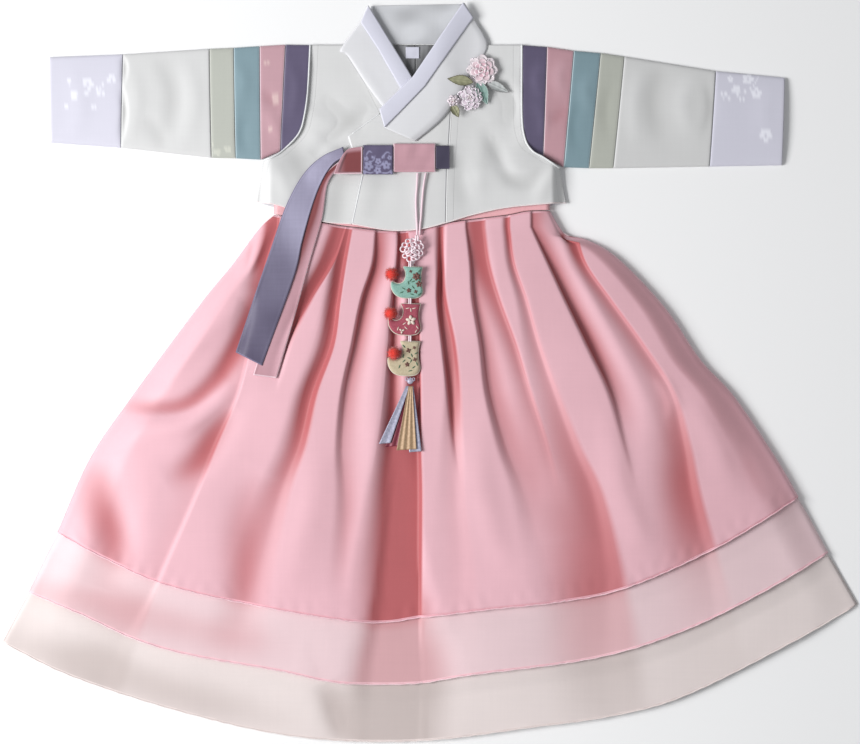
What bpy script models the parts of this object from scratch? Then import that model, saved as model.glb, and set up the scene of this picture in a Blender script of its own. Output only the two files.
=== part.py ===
"""A child's hanbok laid flat: a jacket (jeogori) with striped sleeves, its ties with a hanging
ornament (norigae), and a pleated three-layer skirt (chima) whose waistband is tucked in the jacket.

X runs across the garment, Y runs from the hem up to the collar and Z up from the table. The origin
is under the middle of the garment. The tables are in millimetres and the meshes in metres."""

import math

import bmesh
import bpy
import numpy as np

MM = 0.001

# Driving dimensions, in millimetres.
SKIRT_WALL = 1.0
JACKET_WALL = 1.2
RIBBON_WALL = 1.0
SEAM_GAP = 0.3
LAYER_STEP = SKIRT_WALL + SEAM_GAP
JACKET_STEP = JACKET_WALL + SEAM_GAP
LAP_STEP = JACKET_WALL + 3 * SEAM_GAP
SKIRT_STACK = 6 * SKIRT_WALL + 5 * SEAM_GAP
SKIRT_DOME = 9.0
HIDDEN_INSET = 10.0
WAISTBAND_HEIGHT = 33.0
WAISTBAND_BOTTOM = JACKET_STEP
FRONT_LIFT = 8.3
SLEEVE_FLAT = 2.7
SLEEVE_PUFF = 3.0
PIPING_RADIUS = 0.9
CORD_DIAMETER = 2.0
SHOULDER_Y = 317.0

COLOURS = {
    "ivory": (0.72, 0.73, 0.72),
    "white": (0.80, 0.80, 0.88),
    "sage": (0.60, 0.61, 0.55),
    "teal": (0.32, 0.45, 0.50),
    "rose": (0.72, 0.42, 0.48),
    "purple": (0.18, 0.15, 0.25),
    "dark_purple": (0.09, 0.08, 0.13),
    "skirt_pink": (0.85, 0.48, 0.56),
    "skirt_pale": (0.84, 0.66, 0.69),
    "skirt_ivory": (0.80, 0.75, 0.72),
    "mint": (0.35, 0.62, 0.56),
    "wine": (0.42, 0.10, 0.17),
    "cream": (0.62, 0.54, 0.38),
    "red": (0.60, 0.03, 0.02),
    "gold": (0.55, 0.34, 0.14),
    "silver": (0.55, 0.56, 0.64),
    "leaf": (0.30, 0.31, 0.19),
}

# Lines across the skirt: x against y.
WAIST_LINE = [(-151, 152), (-105, 144), (-52, 137), (-17, 137), (25, 145), (73, 151), (94, 155),
              (116, 156)]
OUTER_HEM = [(-361, -155), (-306, -183), (-256, -204), (-176, -223), (-62, -241), (-6, -236),
             (59, -228), (126, -221), (184, -209), (268, -173), (357, -121)]
MIDDLE_HEM = [(-389, -213), (-337, -234), (-287, -257), (-232, -273), (-146, -288), (-87, -300),
              (-16, -301), (40, -292), (159, -276), (243, -250), (312, -217), (386, -175)]
UNDER_HEM = [(-414.5, -262), (-343, -296), (-232, -331), (-126, -353), (-16, -357.2), (96, -344),
             (180, -332), (249, -312), (349, -262), (414.5, -225)]
SKIRT_LINES = (WAIST_LINE, OUTER_HEM, MIDDLE_HEM, UNDER_HEM)
# Side folds of the skirt, from the waist down.
LEFT_SIDE = [(-151, 152), (-166, 138), (-192, 103), (-223, 65), (-291, -27), (-330, -85),
             (-361, -155), (-389, -213), (-414.5, -262)]
RIGHT_SIDE = [(116, 156), (131, 133), (147, 130), (181, 111), (228, 62), (262, 12), (295, -24),
              (335, -83), (357, -121), (386, -175), (414.5, -225)]

# One row for each pleat: which side its free edge faces, x at each level, drop at each level, how
# wide the edge's slope is at the waist and at the hem, and how far the cloth takes to rise again.
LEVEL_Y = (140, 70, -20, -124, -225, -340)
PLEATS = {
    "left_side": (-1, (-146, -163, -183, -226, -270, -316), (4, 5, 4, 4, 4, 2), (2, 3), (20, 60)),
    "left_outer": (1, (-94, -126, -151, -184, -199, -209), (3, 8, 4, 2, 2, 1), (2, 16), (14, 40)),
    "left_valley_west": (1, (-78, -98, -128, -163, -177, -182), (2, 6, 4, 1, 0, 0), (2, 8), (12, 25)),
    "left_valley_east": (-1, (-70, -82, -105, -133, -157, -167), (2, 7, 7, 5, 2, 1), (2, 8), (12, 30)),
    "left_inner": (1, (-52, -73, -84, -99, -112, -120), (2, 3, 2, 2, 2, 1), (2, 16), (12, 25)),
    "middle_west": (1, (-33, -38, -46, -62, -77, -78), (2, 5, 7, 7, 6, 3), (2, 8), (10, 40)),
    "middle_east": (-1, (-24, -8, -9, -8, -4, -2), (2, 5, 8, 9, 8, 4), (2, 3), (10, 50)),
    "right_valley_west": (1, (9, 5, 14, 25, 28, 33), (2, 6, 5, 2, 0, 0), (2, 3), (8, 10)),
    "right_valley_east": (-1, (17, 18, 30, 35, 40, 44), (2, 5, 5, 2, 1, 0), (2, 3), (8, 10)),
    "right_inner": (1, (35, 42, 54, 82, 115, 128), (2, 4, 5, 4, 3, 2), (2, 14), (12, 50)),
    "right_second": (1, (52, 65, 86, 124, 157, 178), (2, 4, 4, 2, 2, 1), (2, 14), (10, 35)),
    "right_third": (1, (77, 92, 125, 164, 192, 215), (2, 4, 3, 2, 2, 1), (2, 14), (8, 30)),
    "right_fourth": (1, (99, 125, 168, 221, 258, 283), (2, 5, 6, 5, 4, 2), (2, 14), (14, 45)),
    "right_side": (1, (109, 174, 236, 275, 316, 362), (2, 5, 4, 2, 3, 2), (2, 14), (16, 50)),
}
# Height of the pleats' crests at each level.
CREST = (3.0, 8.0, 9.0, 9.0, 8.0, 5.0)
# Pleats with room for one more lengthwise line before the next pleat.
ROOMY_PLEATS = {"left_side", "left_outer", "left_inner", "middle_west", "middle_east", "right_valley_east",
                "right_inner", "right_second", "right_third", "right_fourth"}

# Rows of the skirt: 0 at the waist, 1, 2 and 3 at the three hems.
OUTER_ROWS = [0, 0.05, 0.12, 0.22, 0.34, 0.5, 0.68, 0.85, 1]
HIDDEN_ROWS = [0.04, 0.5, 0.85, 1]
MIDDLE_ROWS = HIDDEN_ROWS + [1.2, 1.5, 2]
UNDER_ROWS = MIDDLE_ROWS + [2.2, 2.5, 3]

# Outlines of the jacket.
HEM_LINE = [(-168, 165), (-142, 160), (-105, 146), (-75, 143), (-39, 137), (-10, 138), (18, 145),
            (41, 152), (74, 159), (115, 163), (132, 164)]
BACK_HEM = [(-168, 165), (-142, 157), (-105, 149), (-52, 142), (-14, 142), (25, 150), (73, 156),
            (116, 161), (132, 164)]
LEFT_ARMHOLE = [(-161, 205), (-152, 208), (-143, 214), (-127, 231), (-121, 251), (-118, 278),
                (-116, SHOULDER_Y)]
RIGHT_ARMHOLE = [(126, 197), (118, 202), (109, 208), (99, 214), (92, 226), (89, 250), (89, SHOULDER_Y)]
# Sleeves: a row for each seam, from the cuff to the armhole, with its upper and its lower end.
# The last seam is the armhole itself.
LEFT_SLEEVE = [(-368.6, 305.2, -367.6, 222.3), (-297.3, 307.9, -299.3, 217.3),
               (-213.4, 313.3, -211.5, 207.6), (-190.1, 314.3, -188.2, 207.1),
               (-164.9, 315.9, -163.9, 205.8), (-139.7, 317.4, -144.7, 214.0)]
RIGHT_SLEEVE = [(343.7, 285.3, 341.1, 200.4), (276.9, 291.6, 270.9, 199.2),
                (188.2, 305.7, 177.4, 197.5), (165.3, 309.2, 154.0, 197.5),
                (139.3, 311.4, 129.4, 198.4), (113.3, 315.2, 109.5, 209.0)]
SLEEVE_BANDS = (("cuff", "white"), ("ivory", "ivory"), ("sage", "sage"), ("teal", "teal"),
                ("pink", "rose"), ("purple", "purple"))

# The armhole's point where the lower end of a sleeve's last band starts.
ARMHOLE_START = 2
BACK_SEAM_X = -14
# The free edge of the under front, the seam between the outer front and the overlap panel, the outer
# front's neck edge and the overlap panel's free edge, all from the hem up.
UNDER_FRONT_EDGE = [(-45, 137.3), (-44, 190), (-40, 250), (-55, 280), (-72, 306), (-76, SHOULDER_Y)]
PANEL_SEAM = [(15, 144.3), (16, 195), (18, 221), (20, 254)]
OUTER_FRONT_NECK = [(27, 275), (40, 298), (49, SHOULDER_Y)]
PANEL_EDGE = [(-75, 143), (-65, 190), (-76, 218), (-79, 228)]
# Bands of the collar: their two edges, how many rows, and the finish.
COLLAR_STRIPS = {
    "collar_back": ([(-72, 318), (-66, 332), (-57, 355)], [(49, 318), (44, 334), (32, 356.5)], 4, "ivory"),
    "collar_left": ([(-61, 354), (-69, 337), (-84, 317), (-87, 310), (-80, 306), (-63, 280), (-46, 257),
                     (-43, 253.5)],
                    [(-59.5, 355), (-45, 331), (-17, 285), (-11, 276)], 10, "ivory"),
    "collar_strip_left": ([(-67, 338), (-50, 312), (-29, 275), (-22, 262)],
                          [(-59.5, 354.5), (-17, 285), (-11, 275)], 9, "white"),
    "collar_right": ([(32, 357.7), (-17, 285), (-49, 254), (-44, 236)],
                     [(34, 357), (44, 340), (56, 317), (47, 298), (34, 275), (19, 253), (6, 239), (-14, 223)],
                     12, "ivory"),
    "collar_strip_right": ([(32, 357.4), (-17, 285), (-49, 254)],
                           [(42, 343), (-5, 276), (-30, 250), (-44, 236)], 9, "white"),
}
LABEL_BOX = (-23.5, -10.5, 304, 315)
LABEL_THICKNESS = 0.6


def smoothstep(value, low, high):
    """0 below low and 1 above high, with a smooth rise between them."""
    part = np.clip((np.asarray(value, float) - low) / (high - low), 0, 1)
    return part * part * (3 - 2 * part)


def through(points, count=80):
    """A smooth line through the points (a Catmull-Rom curve), as count places along it."""
    points = np.array(points, float)
    ends = np.vstack([2 * points[0] - points[1], points, 2 * points[-1] - points[-2]])
    place = np.linspace(0, len(points) - 1, count)
    index = np.minimum(place.astype(int), len(points) - 2)
    part = (place - index)[:, None]
    p0, p1, p2, p3 = (ends[index + step] for step in range(4))
    return 0.5 * (2 * p1 + (p2 - p0) * part + (2 * p0 - 5 * p1 + 4 * p2 - p3) * part**2
                  + (3 * p1 - p0 - 3 * p2 + p3) * part**3)


def line_y(points, x):
    """y of a line that runs from left to right, at x."""
    dense = through(points)
    return np.interp(x, dense[:, 0], dense[:, 1])


def line_x(points, y):
    """x of a line that runs downwards, at y."""
    dense = through(points)
    return np.interp(-np.asarray(y, float), -dense[:, 1], dense[:, 0])


def pleat_x(name, y):
    """x of a pleat's free edge at y."""
    return line_x(list(zip(PLEATS[name][1], LEVEL_Y)), y)


def at_levels(values, y):
    return np.interp(-np.asarray(y, float), -np.array(LEVEL_Y, float), values)


def skirt_relief(x, y):
    """(dome, folds) of the skirt's front: a low dome over the whole skirt, and pleats cut into it."""
    left, right = line_x(LEFT_SIDE, y), line_x(RIGHT_SIDE, y)
    across = np.clip((2 * x - left - right) / (right - left), -1, 1)
    down = np.clip((line_y(WAIST_LINE, x) - y) / 360, 0, 1.6)
    dome = SKIRT_DOME * np.sin(math.pi / 2 * np.clip(down / 0.45, 0, 1)) * (1 - np.abs(across) ** 3)
    dome = dome * (1 - 0.3 * smoothstep(down, 0.6, 1.3))
    down = np.clip(down, 0, 1)
    folds = at_levels(CREST, y) * np.ones_like(x)
    for name, (facing, _, drops, widths, reaches) in PLEATS.items():
        beyond = facing * (x - pleat_x(name, y))
        width = widths[0] + (widths[1] - widths[0]) * down
        reach = reaches[0] + (reaches[1] - reaches[0]) * down
        shape = np.clip(beyond / width, 0, 1) * (1 - smoothstep(beyond - width, 0, reach))
        folds = folds - at_levels(drops, y) * shape
    rim = smoothstep(1 - np.abs(across), 0, 0.12)
    return dome, np.maximum(folds, 0.2) * rim


def skirt_top(x, y):
    """Height of the skirt's upper face."""
    dome, folds = skirt_relief(x, y)
    return SKIRT_STACK + dome + folds


def front_level(x, y):
    """Underside of the jacket's front, which rises over the skirt's waistband."""
    waist = line_y(WAIST_LINE, x)
    over_band = 1 - smoothstep(y - waist, WAISTBAND_HEIGHT + 2, WAISTBAND_HEIGHT + 48)
    inside = smoothstep(x, -166, -153) * (1 - smoothstep(x, 117, 130))
    return JACKET_STEP + FRONT_LIFT * over_band * inside


def overlap_rise(x):
    """How far the outer front stands above the under front, which it covers on the left."""
    return LAP_STEP * (1 - smoothstep(x, 5, 45))


def collar_level(x, y):
    """Underside of the right collar, which crosses over the left one."""
    return front_level(x, y) + LAP_STEP + 2 * LAP_STEP * (1 - smoothstep(x, 5, 45))


def ground(x, y):
    """The highest cloth at a place, under the ties and the ornament."""
    jacket = front_level(x, y) + JACKET_WALL + LAP_STEP * smoothstep(x, -86, -82)
    return np.where(y > line_y(HEM_LINE, x) - 3, jacket, skirt_top(x, y))


def resting_level(x, y, reach=7.0):
    """The height at which something reach wide rests at a place: the highest ground around it."""
    angles = np.arange(12) * math.tau / 12
    around = [ground(x, y)]
    for radius in (reach / 2, reach):
        around += [ground(x + radius * math.cos(angle), y + radius * math.sin(angle)) for angle in angles]
    return np.max(around, axis=0) + SEAM_GAP


def material(name):
    """A plain material of the part's colour."""
    found = bpy.data.materials.get(name)
    if found:
        return found
    made = bpy.data.materials.new(name)
    made.use_nodes = True
    shader = made.node_tree.nodes["Principled BSDF"]
    shader.inputs["Base Color"].default_value = (*COLOURS[name], 1)
    shader.inputs["Roughness"].default_value = 0.6
    shader.inputs["Metallic"].default_value = 0.0
    return made


class Hanbok:
    """Collects the parts in one collection."""

    def __init__(self):
        self.collection = bpy.data.collections.new("hanbok")
        bpy.context.scene.collection.children.link(self.collection)

    def add(self, name, points, faces, finish):
        """Adds a mesh from points in millimetres, with its faces turned outwards."""
        mesh = bpy.data.meshes.new(name)
        mesh.from_pydata((np.array(points, float) * MM).tolist(), [], faces)
        shape = bmesh.new()
        shape.from_mesh(mesh)
        bmesh.ops.recalc_face_normals(shape, faces=shape.faces)
        shape.to_mesh(mesh)
        shape.free()
        mesh.materials.append(material(finish))
        made = bpy.data.objects.new(name, mesh)
        self.collection.objects.link(made)
        return made

    def sheet(self, name, lower, wall, finish):
        """A wall of even height on a grid of points: rows by columns by xyz."""
        lower = np.array(lower, float)
        upper = lower + np.array([0, 0, wall])
        rows, columns = lower.shape[:2]
        number = np.arange(rows * columns).reshape(rows, columns)
        under = quads(number)
        over = [tuple(corner + rows * columns for corner in face) for face in quads(number)]
        edge = np.concatenate([number[0, :], number[1:, -1], number[-1, -2::-1], number[-2:0:-1, 0]])
        following = np.roll(edge, -1)
        count = rows * columns
        sides = [(int(a), int(b), int(b) + count, int(a) + count) for a, b in zip(edge, following)]
        points = np.vstack([lower.reshape(-1, 3), upper.reshape(-1, 3)])
        return self.add(name, points, under + over + sides, finish)

    def tube(self, name, outer, inner, finish):
        """An open-ended tube between two grids of rings: rows by places round a ring by xyz."""
        rows, around = outer.shape[:2]
        number = np.arange(rows * around).reshape(rows, around)
        closed = np.hstack([number, number[:, :1]])
        faces = quads(closed) + [tuple(corner + rows * around for corner in face) for face in quads(closed)]
        for row in (0, rows - 1):
            for a, b in zip(closed[row, :-1], closed[row, 1:]):
                faces.append((int(a), int(b), int(b) + rows * around, int(a) + rows * around))
        return self.add(name, np.vstack([outer.reshape(-1, 3), inner.reshape(-1, 3)]), faces, finish)

    def cord(self, name, points, radius, finish, resolution=2):
        """A round cord along a smooth line through the points."""
        line = bpy.data.curves.new(name, "CURVE")
        line.dimensions = "3D"
        line.bevel_depth = radius * MM
        line.bevel_resolution = resolution
        line.use_fill_caps = True
        length = np.linalg.norm(np.diff(np.array(points, float), axis=0), axis=1).sum()
        places = through(points, max(4, int(length / (6 * radius)))) * MM
        spline = line.splines.new("POLY")
        spline.points.add(len(places) - 1)
        for point, place in zip(spline.points, places):
            point.co = (*place, 1)
        line.materials.append(material(finish))
        made = bpy.data.objects.new(name, line)
        self.collection.objects.link(made)
        return made

    def plate(self, name, outline, level, thickness, finish):
        """A flat piece of an outline, lying at a level."""
        outline = np.array(outline, float)
        count = len(outline)
        lower = np.column_stack([outline, np.full(count, level)])
        upper = lower + np.array([0, 0, thickness])
        faces = [tuple(range(count)), tuple(range(count, 2 * count))]
        faces += [(i, (i + 1) % count, count + (i + 1) % count, count + i) for i in range(count)]
        return self.add(name, np.vstack([lower, upper]), faces, finish)

    def dome(self, name, centre, radius, height, finish, petals=0, rings=3, around=20):
        """A low dome on a flat underside; petals scallop its edge."""
        angles = np.arange(around) * math.tau / around
        edge = 1 + 0.08 * np.cos(petals * angles) if petals else np.ones(around)
        points, faces = [], []
        for ring in range(rings):
            slope = ring / rings * math.pi / 2
            for angle, wide in zip(angles, edge):
                reach = radius * math.cos(slope) * wide
                points.append((centre[0] + reach * math.cos(angle), centre[1] + reach * math.sin(angle),
                               centre[2] + height * math.sin(slope)))
        points.append((centre[0], centre[1], centre[2] + height))
        number = np.arange(rings * around).reshape(rings, around)
        faces += quads(np.hstack([number, number[:, :1]]))
        top = rings * around
        last = number[-1]
        faces += [(int(a), int(b), top) for a, b in zip(last, np.roll(last, -1))]
        faces.append(tuple(int(a) for a in number[0]))
        return self.add(name, points, faces, finish)

    def ball(self, name, centre, radius, finish):
        """A round pompom."""
        shape = bmesh.new()
        bmesh.ops.create_uvsphere(shape, u_segments=12, v_segments=8, radius=radius * MM)
        mesh = bpy.data.meshes.new(name)
        shape.to_mesh(mesh)
        shape.free()
        mesh.shade_smooth()
        mesh.materials.append(material(finish))
        made = bpy.data.objects.new(name, mesh)
        made.location = np.array(centre) * MM
        self.collection.objects.link(made)
        return made


def quads(number):
    """The four corners of each cell of a grid of point numbers."""
    corners = (number[:-1, :-1], number[:-1, 1:], number[1:, 1:], number[1:, :-1])
    return [tuple(int(corner) for corner in face) for face in zip(*(part.ravel() for part in corners))]


def resample(points, count):
    """Places at even distances along a polyline."""
    points = np.array(points, float)
    run = np.concatenate([[0], np.cumsum(np.linalg.norm(np.diff(points, axis=0), axis=1))])
    wanted = np.linspace(0, run[-1], count)
    return np.column_stack([np.interp(wanted, run, points[:, axis]) for axis in (0, 1)])


def patch(left, right, bottom, top):
    """A Coons patch between four edges: its plan points, from bottom to top and left to right."""
    left, right, bottom, top = (np.array(edge, float) for edge in (left, right, bottom, top))
    up = np.linspace(0, 1, len(left))[:, None, None]
    across = np.linspace(0, 1, len(bottom))[None, :, None]
    sides = (1 - across) * left[:, None, :] + across * right[:, None, :]
    ends = (1 - up) * bottom[None, :, :] + up * top[None, :, :]
    corners = ((1 - up) * ((1 - across) * left[0] + across * right[0])
               + up * ((1 - across) * left[-1] + across * right[-1]))
    return sides + ends - corners


def raised(plan, level):
    """Plan points with a height from a function of x and y."""
    return np.dstack([plan, level(plan[..., 0], plan[..., 1])])


def shifted(points, x=0.0, y=0.0):
    return [(px + x, py + y) for px, py in points]


def hem_part(line, start, end, count):
    """Places along a line across the garment, between two x values."""
    x = np.linspace(start, end, count)
    return np.column_stack([x, line_y(line, x)])


# ---------------------------------------------------------------- skirt

def skirt_columns(y):
    """x of each lengthwise line of the skirt's front, at the heights y: both sides, each pleat's
    edge and foot, and a line between neighbours where there is room."""
    down = np.clip((140 - y) / 360, 0, 1)
    anchors = [line_x(LEFT_SIDE, y), 0.5 * (line_x(LEFT_SIDE, y) + pleat_x("left_side", y)) - 1]
    for name, (facing, _, _, widths, _) in PLEATS.items():
        edge = pleat_x(name, y)
        foot = edge + facing * (widths[0] + (widths[1] - widths[0]) * down)
        anchors += [foot, edge] if facing < 0 else [edge, foot]
        if name in ROOMY_PLEATS:
            following = list(PLEATS)[list(PLEATS).index(name) + 1]
            anchors.append(0.5 * (anchors[-1] + pleat_x(following, y)))
    anchors.append(0.5 * (anchors[-1] + line_x(RIGHT_SIDE, y)))
    anchors.append(line_x(RIGHT_SIDE, y))
    for position in range(1, len(anchors)):
        anchors[position] = np.maximum(anchors[position], anchors[position - 1] + 0.8)
    anchors[-1] = line_x(RIGHT_SIDE, y)
    return np.array(anchors)


def skirt_grid(rows):
    """Plan points of the skirt's lengthwise lines at the rows."""
    y = np.linspace(160, -362, 520)
    columns = skirt_columns(y)
    grid = np.empty((len(rows), len(columns), 2))
    for index, x in enumerate(columns):
        marks = [float(np.interp(0, line_y(line, x) - y, y)) for line in SKIRT_LINES]
        place = np.interp(rows, range(len(marks)), marks)
        grid[:, index, 0] = np.interp(-place, -y, x)
        grid[:, index, 1] = place
    return grid


def skirt_wall(number, row, dome, folds):
    """Underside of a skirt wall. Walls 0 to 2 are the back layers, 3 to 5 the front layers; past a
    hem the layers below it settle down to the table."""
    row = np.asarray(row, float)
    past_outer = smoothstep(row, 1, 1.35)
    past_middle = smoothstep(row, 2, 2.35)
    base = LAYER_STEP * (number - past_outer - past_middle)
    share = number / 5 * (1 - past_outer) + 0.8 * (number - 1) / 3 * past_outer
    share = share * (1 - past_middle) + 0.4 * (number - 2) * past_middle
    if number < 3:
        return base + share * dome
    follow = 1.0 if number == 5 else smoothstep(row, 0.5, 0.85)
    return base + share * (dome + follow * folds)


def skirt_layer(parts, name, depth, rows, finish):
    """One layer of the skirt, a flattened tube. Depth 0 is the outer layer."""
    rows = np.array(rows, float)
    plan = skirt_grid(rows)
    inset = LAYER_STEP * np.maximum(depth - smoothstep(rows, 1, 1.35) - smoothstep(rows, 2, 2.35), 0)
    if depth:
        inset = inset + HIDDEN_INSET * (1 - smoothstep(rows, 0.5, 0.85))
    dome, folds = skirt_relief(plan[..., 0], plan[..., 1])
    height = rows[:, None] * np.ones(plan.shape[1])
    front = skirt_wall(5 - depth, height, dome, folds)
    back = skirt_wall(depth, height, dome, folds)
    chosen = np.unique(np.linspace(0, plan.shape[1] - 1, 9).astype(int))
    order = 0.2 * np.arange(plan.shape[1])

    def ring(extra, front_rise, back_rise):
        moved = plan.copy()
        low = (plan[:, 0, 0] + inset + extra)[:, None] + order
        high = (plan[:, -1, 0] - inset - extra)[:, None] - order[::-1]
        moved[..., 0] = np.clip(plan[..., 0], low, high)
        upper = np.dstack([moved, front + front_rise])[:, ::-1]
        lower = np.dstack([moved, back + back_rise])[:, chosen]
        return np.hstack([lower, upper])

    return parts.tube(name, ring(0, SKIRT_WALL, 0), ring(SKIRT_WALL, 0, SKIRT_WALL), finish)


def waistband(parts):
    """The band above the skirt's pleats, a flattened tube."""
    x = np.linspace(WAIST_LINE[0][0], WAIST_LINE[-1][0], 15)
    rows = (3 * SEAM_GAP, WAISTBAND_HEIGHT)

    def ring(inset, low, high):
        wide = x.copy()
        wide[0] += inset
        wide[-1] -= inset
        rings = []
        for row in rows:
            y = line_y(WAIST_LINE, x) + row
            lower = np.column_stack([wide, y, np.full(len(x), low)])
            upper = np.column_stack([wide, y, np.full(len(x), high)])[::-1]
            rings.append(np.vstack([lower, upper]))
        return np.array(rings)

    top = SKIRT_STACK
    outer = ring(0, WAISTBAND_BOTTOM, top)
    inner = ring(JACKET_WALL, WAISTBAND_BOTTOM + JACKET_WALL, top - JACKET_WALL)
    return parts.tube("waistband", outer, inner, "skirt_pink")


def skirt(parts):
    skirt_layer(parts, "skirt_outer", 0, OUTER_ROWS, "skirt_pink")
    skirt_layer(parts, "skirt_middle", 1, MIDDLE_ROWS, "skirt_pale")
    skirt_layer(parts, "skirt_under", 2, UNDER_ROWS, "skirt_ivory")
    waistband(parts)


# ---------------------------------------------------------------- jacket

def table_level(x, y):
    """Underside of the pieces that lie on the table."""
    return np.zeros_like(x)


def outer_front_level(x, y):
    return front_level(x, y) + overlap_rise(x)


def jacket_body(parts):
    """Back halves, fronts and the overlap panel."""
    half = SEAM_GAP / 2
    seam = BACK_SEAM_X
    left_side = [HEM_LINE[0], (-165, 185)] + LEFT_ARMHOLE
    right_side = [HEM_LINE[-1], (129, 181)] + RIGHT_ARMHOLE
    left_start, left_end = LEFT_ARMHOLE[-1], (seam - half, SHOULDER_Y)
    right_start, right_end = (seam + half, SHOULDER_Y), RIGHT_ARMHOLE[-1]
    rows = len(left_side)
    plan = patch(left_side, resample([(seam - half, 142), left_end], rows),
                 hem_part(BACK_HEM, left_side[0][0], seam - half, 5), resample([left_start, left_end], 5))
    parts.sheet("back_left", raised(plan, table_level), JACKET_WALL, "ivory")
    plan = patch(resample([(seam + half, 142), right_start], rows), right_side,
                 hem_part(BACK_HEM, seam + half, right_side[0][0], 5), resample([right_start, right_end], 5))
    parts.sheet("back_right", raised(plan, table_level), JACKET_WALL, "ivory")

    left_long = resample(left_side[:3], 6).tolist() + list(LEFT_ARMHOLE[1:])
    rows = len(left_long)
    plan = patch(left_long, resample(UNDER_FRONT_EDGE, rows),
                 hem_part(HEM_LINE, left_side[0][0], UNDER_FRONT_EDGE[0][0], 8),
                 resample([left_start, UNDER_FRONT_EDGE[-1]], 8))
    parts.sheet("front_under", raised(plan, front_level), JACKET_WALL, "ivory")

    right_long = resample(right_side[:3], 6).tolist() + list(RIGHT_ARMHOLE[1:])
    inner_edge = shifted(PANEL_SEAM, half) + OUTER_FRONT_NECK
    plan = patch(resample(inner_edge, rows), right_long,
                 hem_part(HEM_LINE, inner_edge[0][0], right_side[0][0], 8),
                 resample([OUTER_FRONT_NECK[-1], right_end], 8))
    parts.sheet("front_outer", raised(plan, outer_front_level), JACKET_WALL, "ivory")

    panel_seam = shifted(PANEL_SEAM, -half)
    plan = patch(resample(PANEL_EDGE, 8), resample(panel_seam, 8),
                 hem_part(HEM_LINE, PANEL_EDGE[0][0], panel_seam[0][0], 7),
                 resample([PANEL_EDGE[-1], (-49, 250), panel_seam[-1]], 7))
    parts.sheet("overlap_panel", raised(plan, outer_front_level), JACKET_WALL, "ivory")


def strip(parts, name, first, second, level, finish, rows=9):
    """A band between two edges that run the same way."""
    first, second = resample(first, rows), resample(second, rows)
    plan = np.stack([first, 0.5 * (first + second), second], axis=1)
    return parts.sheet(name, raised(plan, level), JACKET_WALL, finish)


def left_collar_level(x, y):
    return front_level(x, y) + LAP_STEP


def left_strip_level(x, y):
    return left_collar_level(x, y) + LAP_STEP


def right_strip_level(x, y):
    return collar_level(x, y) + LAP_STEP


def collar(parts):
    """The collar, its white strips and the blank label inside it."""
    levels = {"collar_back": table_level, "collar_left": left_collar_level,
              "collar_strip_left": left_strip_level, "collar_right": collar_level,
              "collar_strip_right": right_strip_level}
    for name, (first, second, rows, finish) in COLLAR_STRIPS.items():
        strip(parts, name, first, second, levels[name], finish, rows)
    left_x, right_x, low_y, high_y = LABEL_BOX
    parts.plate("label", [(left_x, low_y), (right_x, low_y), (right_x, high_y), (left_x, high_y)],
                JACKET_STEP, LABEL_THICKNESS, "white")


def sleeve(parts, side, seams, armhole):
    """A sleeve of six bands, each a flattened open tube."""
    inwards = 1 if side == "left" else -1
    places = np.array([0, 0.03, 0.14, 0.35, 0.65, 0.86, 0.97, 1])

    def edge_points(number, inset):
        """One seam's points, from its lower to its upper end, the inset away from both ends."""
        if number < len(seams):
            top, bottom = np.array(seams[number][:2]), np.array(seams[number][2:])
            line = np.array([bottom, top])
        else:
            line = np.array(armhole[ARMHOLE_START:]) - np.array([inwards * SEAM_GAP, 0])
        run = np.concatenate([[0], np.cumsum(np.linalg.norm(np.diff(line, axis=0), axis=1))])
        along = inset + places * (run[-1] - 2 * inset)
        return np.column_stack([np.interp(along, run, line[:, axis]) for axis in (0, 1)])

    def ring(number, inset, low, high_drop):
        start, end = edge_points(number, inset), edge_points(number + 1, inset)
        end = end - np.array([inwards * SEAM_GAP, 0])
        crown = SLEEVE_FLAT + SLEEVE_PUFF * np.sin(math.pi * places) ** 0.5 - high_drop
        rings = []
        for part in (0, 0.5, 1):
            plan = start + (end - start) * part
            lower = np.column_stack([plan, np.full(len(places), low)])
            rings.append(np.vstack([lower, np.column_stack([plan, crown])[::-1]]))
        return np.array(rings)

    for number, (band, finish) in enumerate(SLEEVE_BANDS):
        outer = ring(number, 0, 0, 0)
        inner = ring(number, JACKET_WALL, JACKET_WALL, JACKET_WALL)
        parts.tube(f"sleeve_{side}_{band}", outer, inner, finish)


def sleeves(parts):
    sleeve(parts, "left", LEFT_SLEEVE, LEFT_ARMHOLE)
    sleeve(parts, "right", RIGHT_SLEEVE, RIGHT_ARMHOLE)
    rise = SLEEVE_FLAT + SLEEVE_PUFF + PIPING_RADIUS + SEAM_GAP
    for side, armhole in (("left", LEFT_ARMHOLE), ("right", RIGHT_ARMHOLE)):
        points = [(x, y, rise + float(front_level(x, y)) - JACKET_STEP) for x, y in armhole]
        parts.cord(f"armhole_piping_{side}", points, PIPING_RADIUS, "white")


# ---------------------------------------------------------------- ties, ornament and applique

PURPLE_TAIL = ([(-84, 218), (-105, 208), (-123, 190), (-140, 158), (-155, 114), (-167, 79), (-187, 19)],
               [(-82, 208), (-94, 200), (-105, 182), (-114, 158), (-123, 125), (-131, 90), (-161, 6)])
PINK_TAIL = ([(-84, 206), (-97, 196), (-112, 178), (-124, 150), (-136, 110), (-150, 60), (-170, -3)],
             [(-80, 200), (-90, 195), (-99, 180), (-104, 148), (-115, 108), (-130, 53), (-147, -6)])


TIE_REACH = 6
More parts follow.
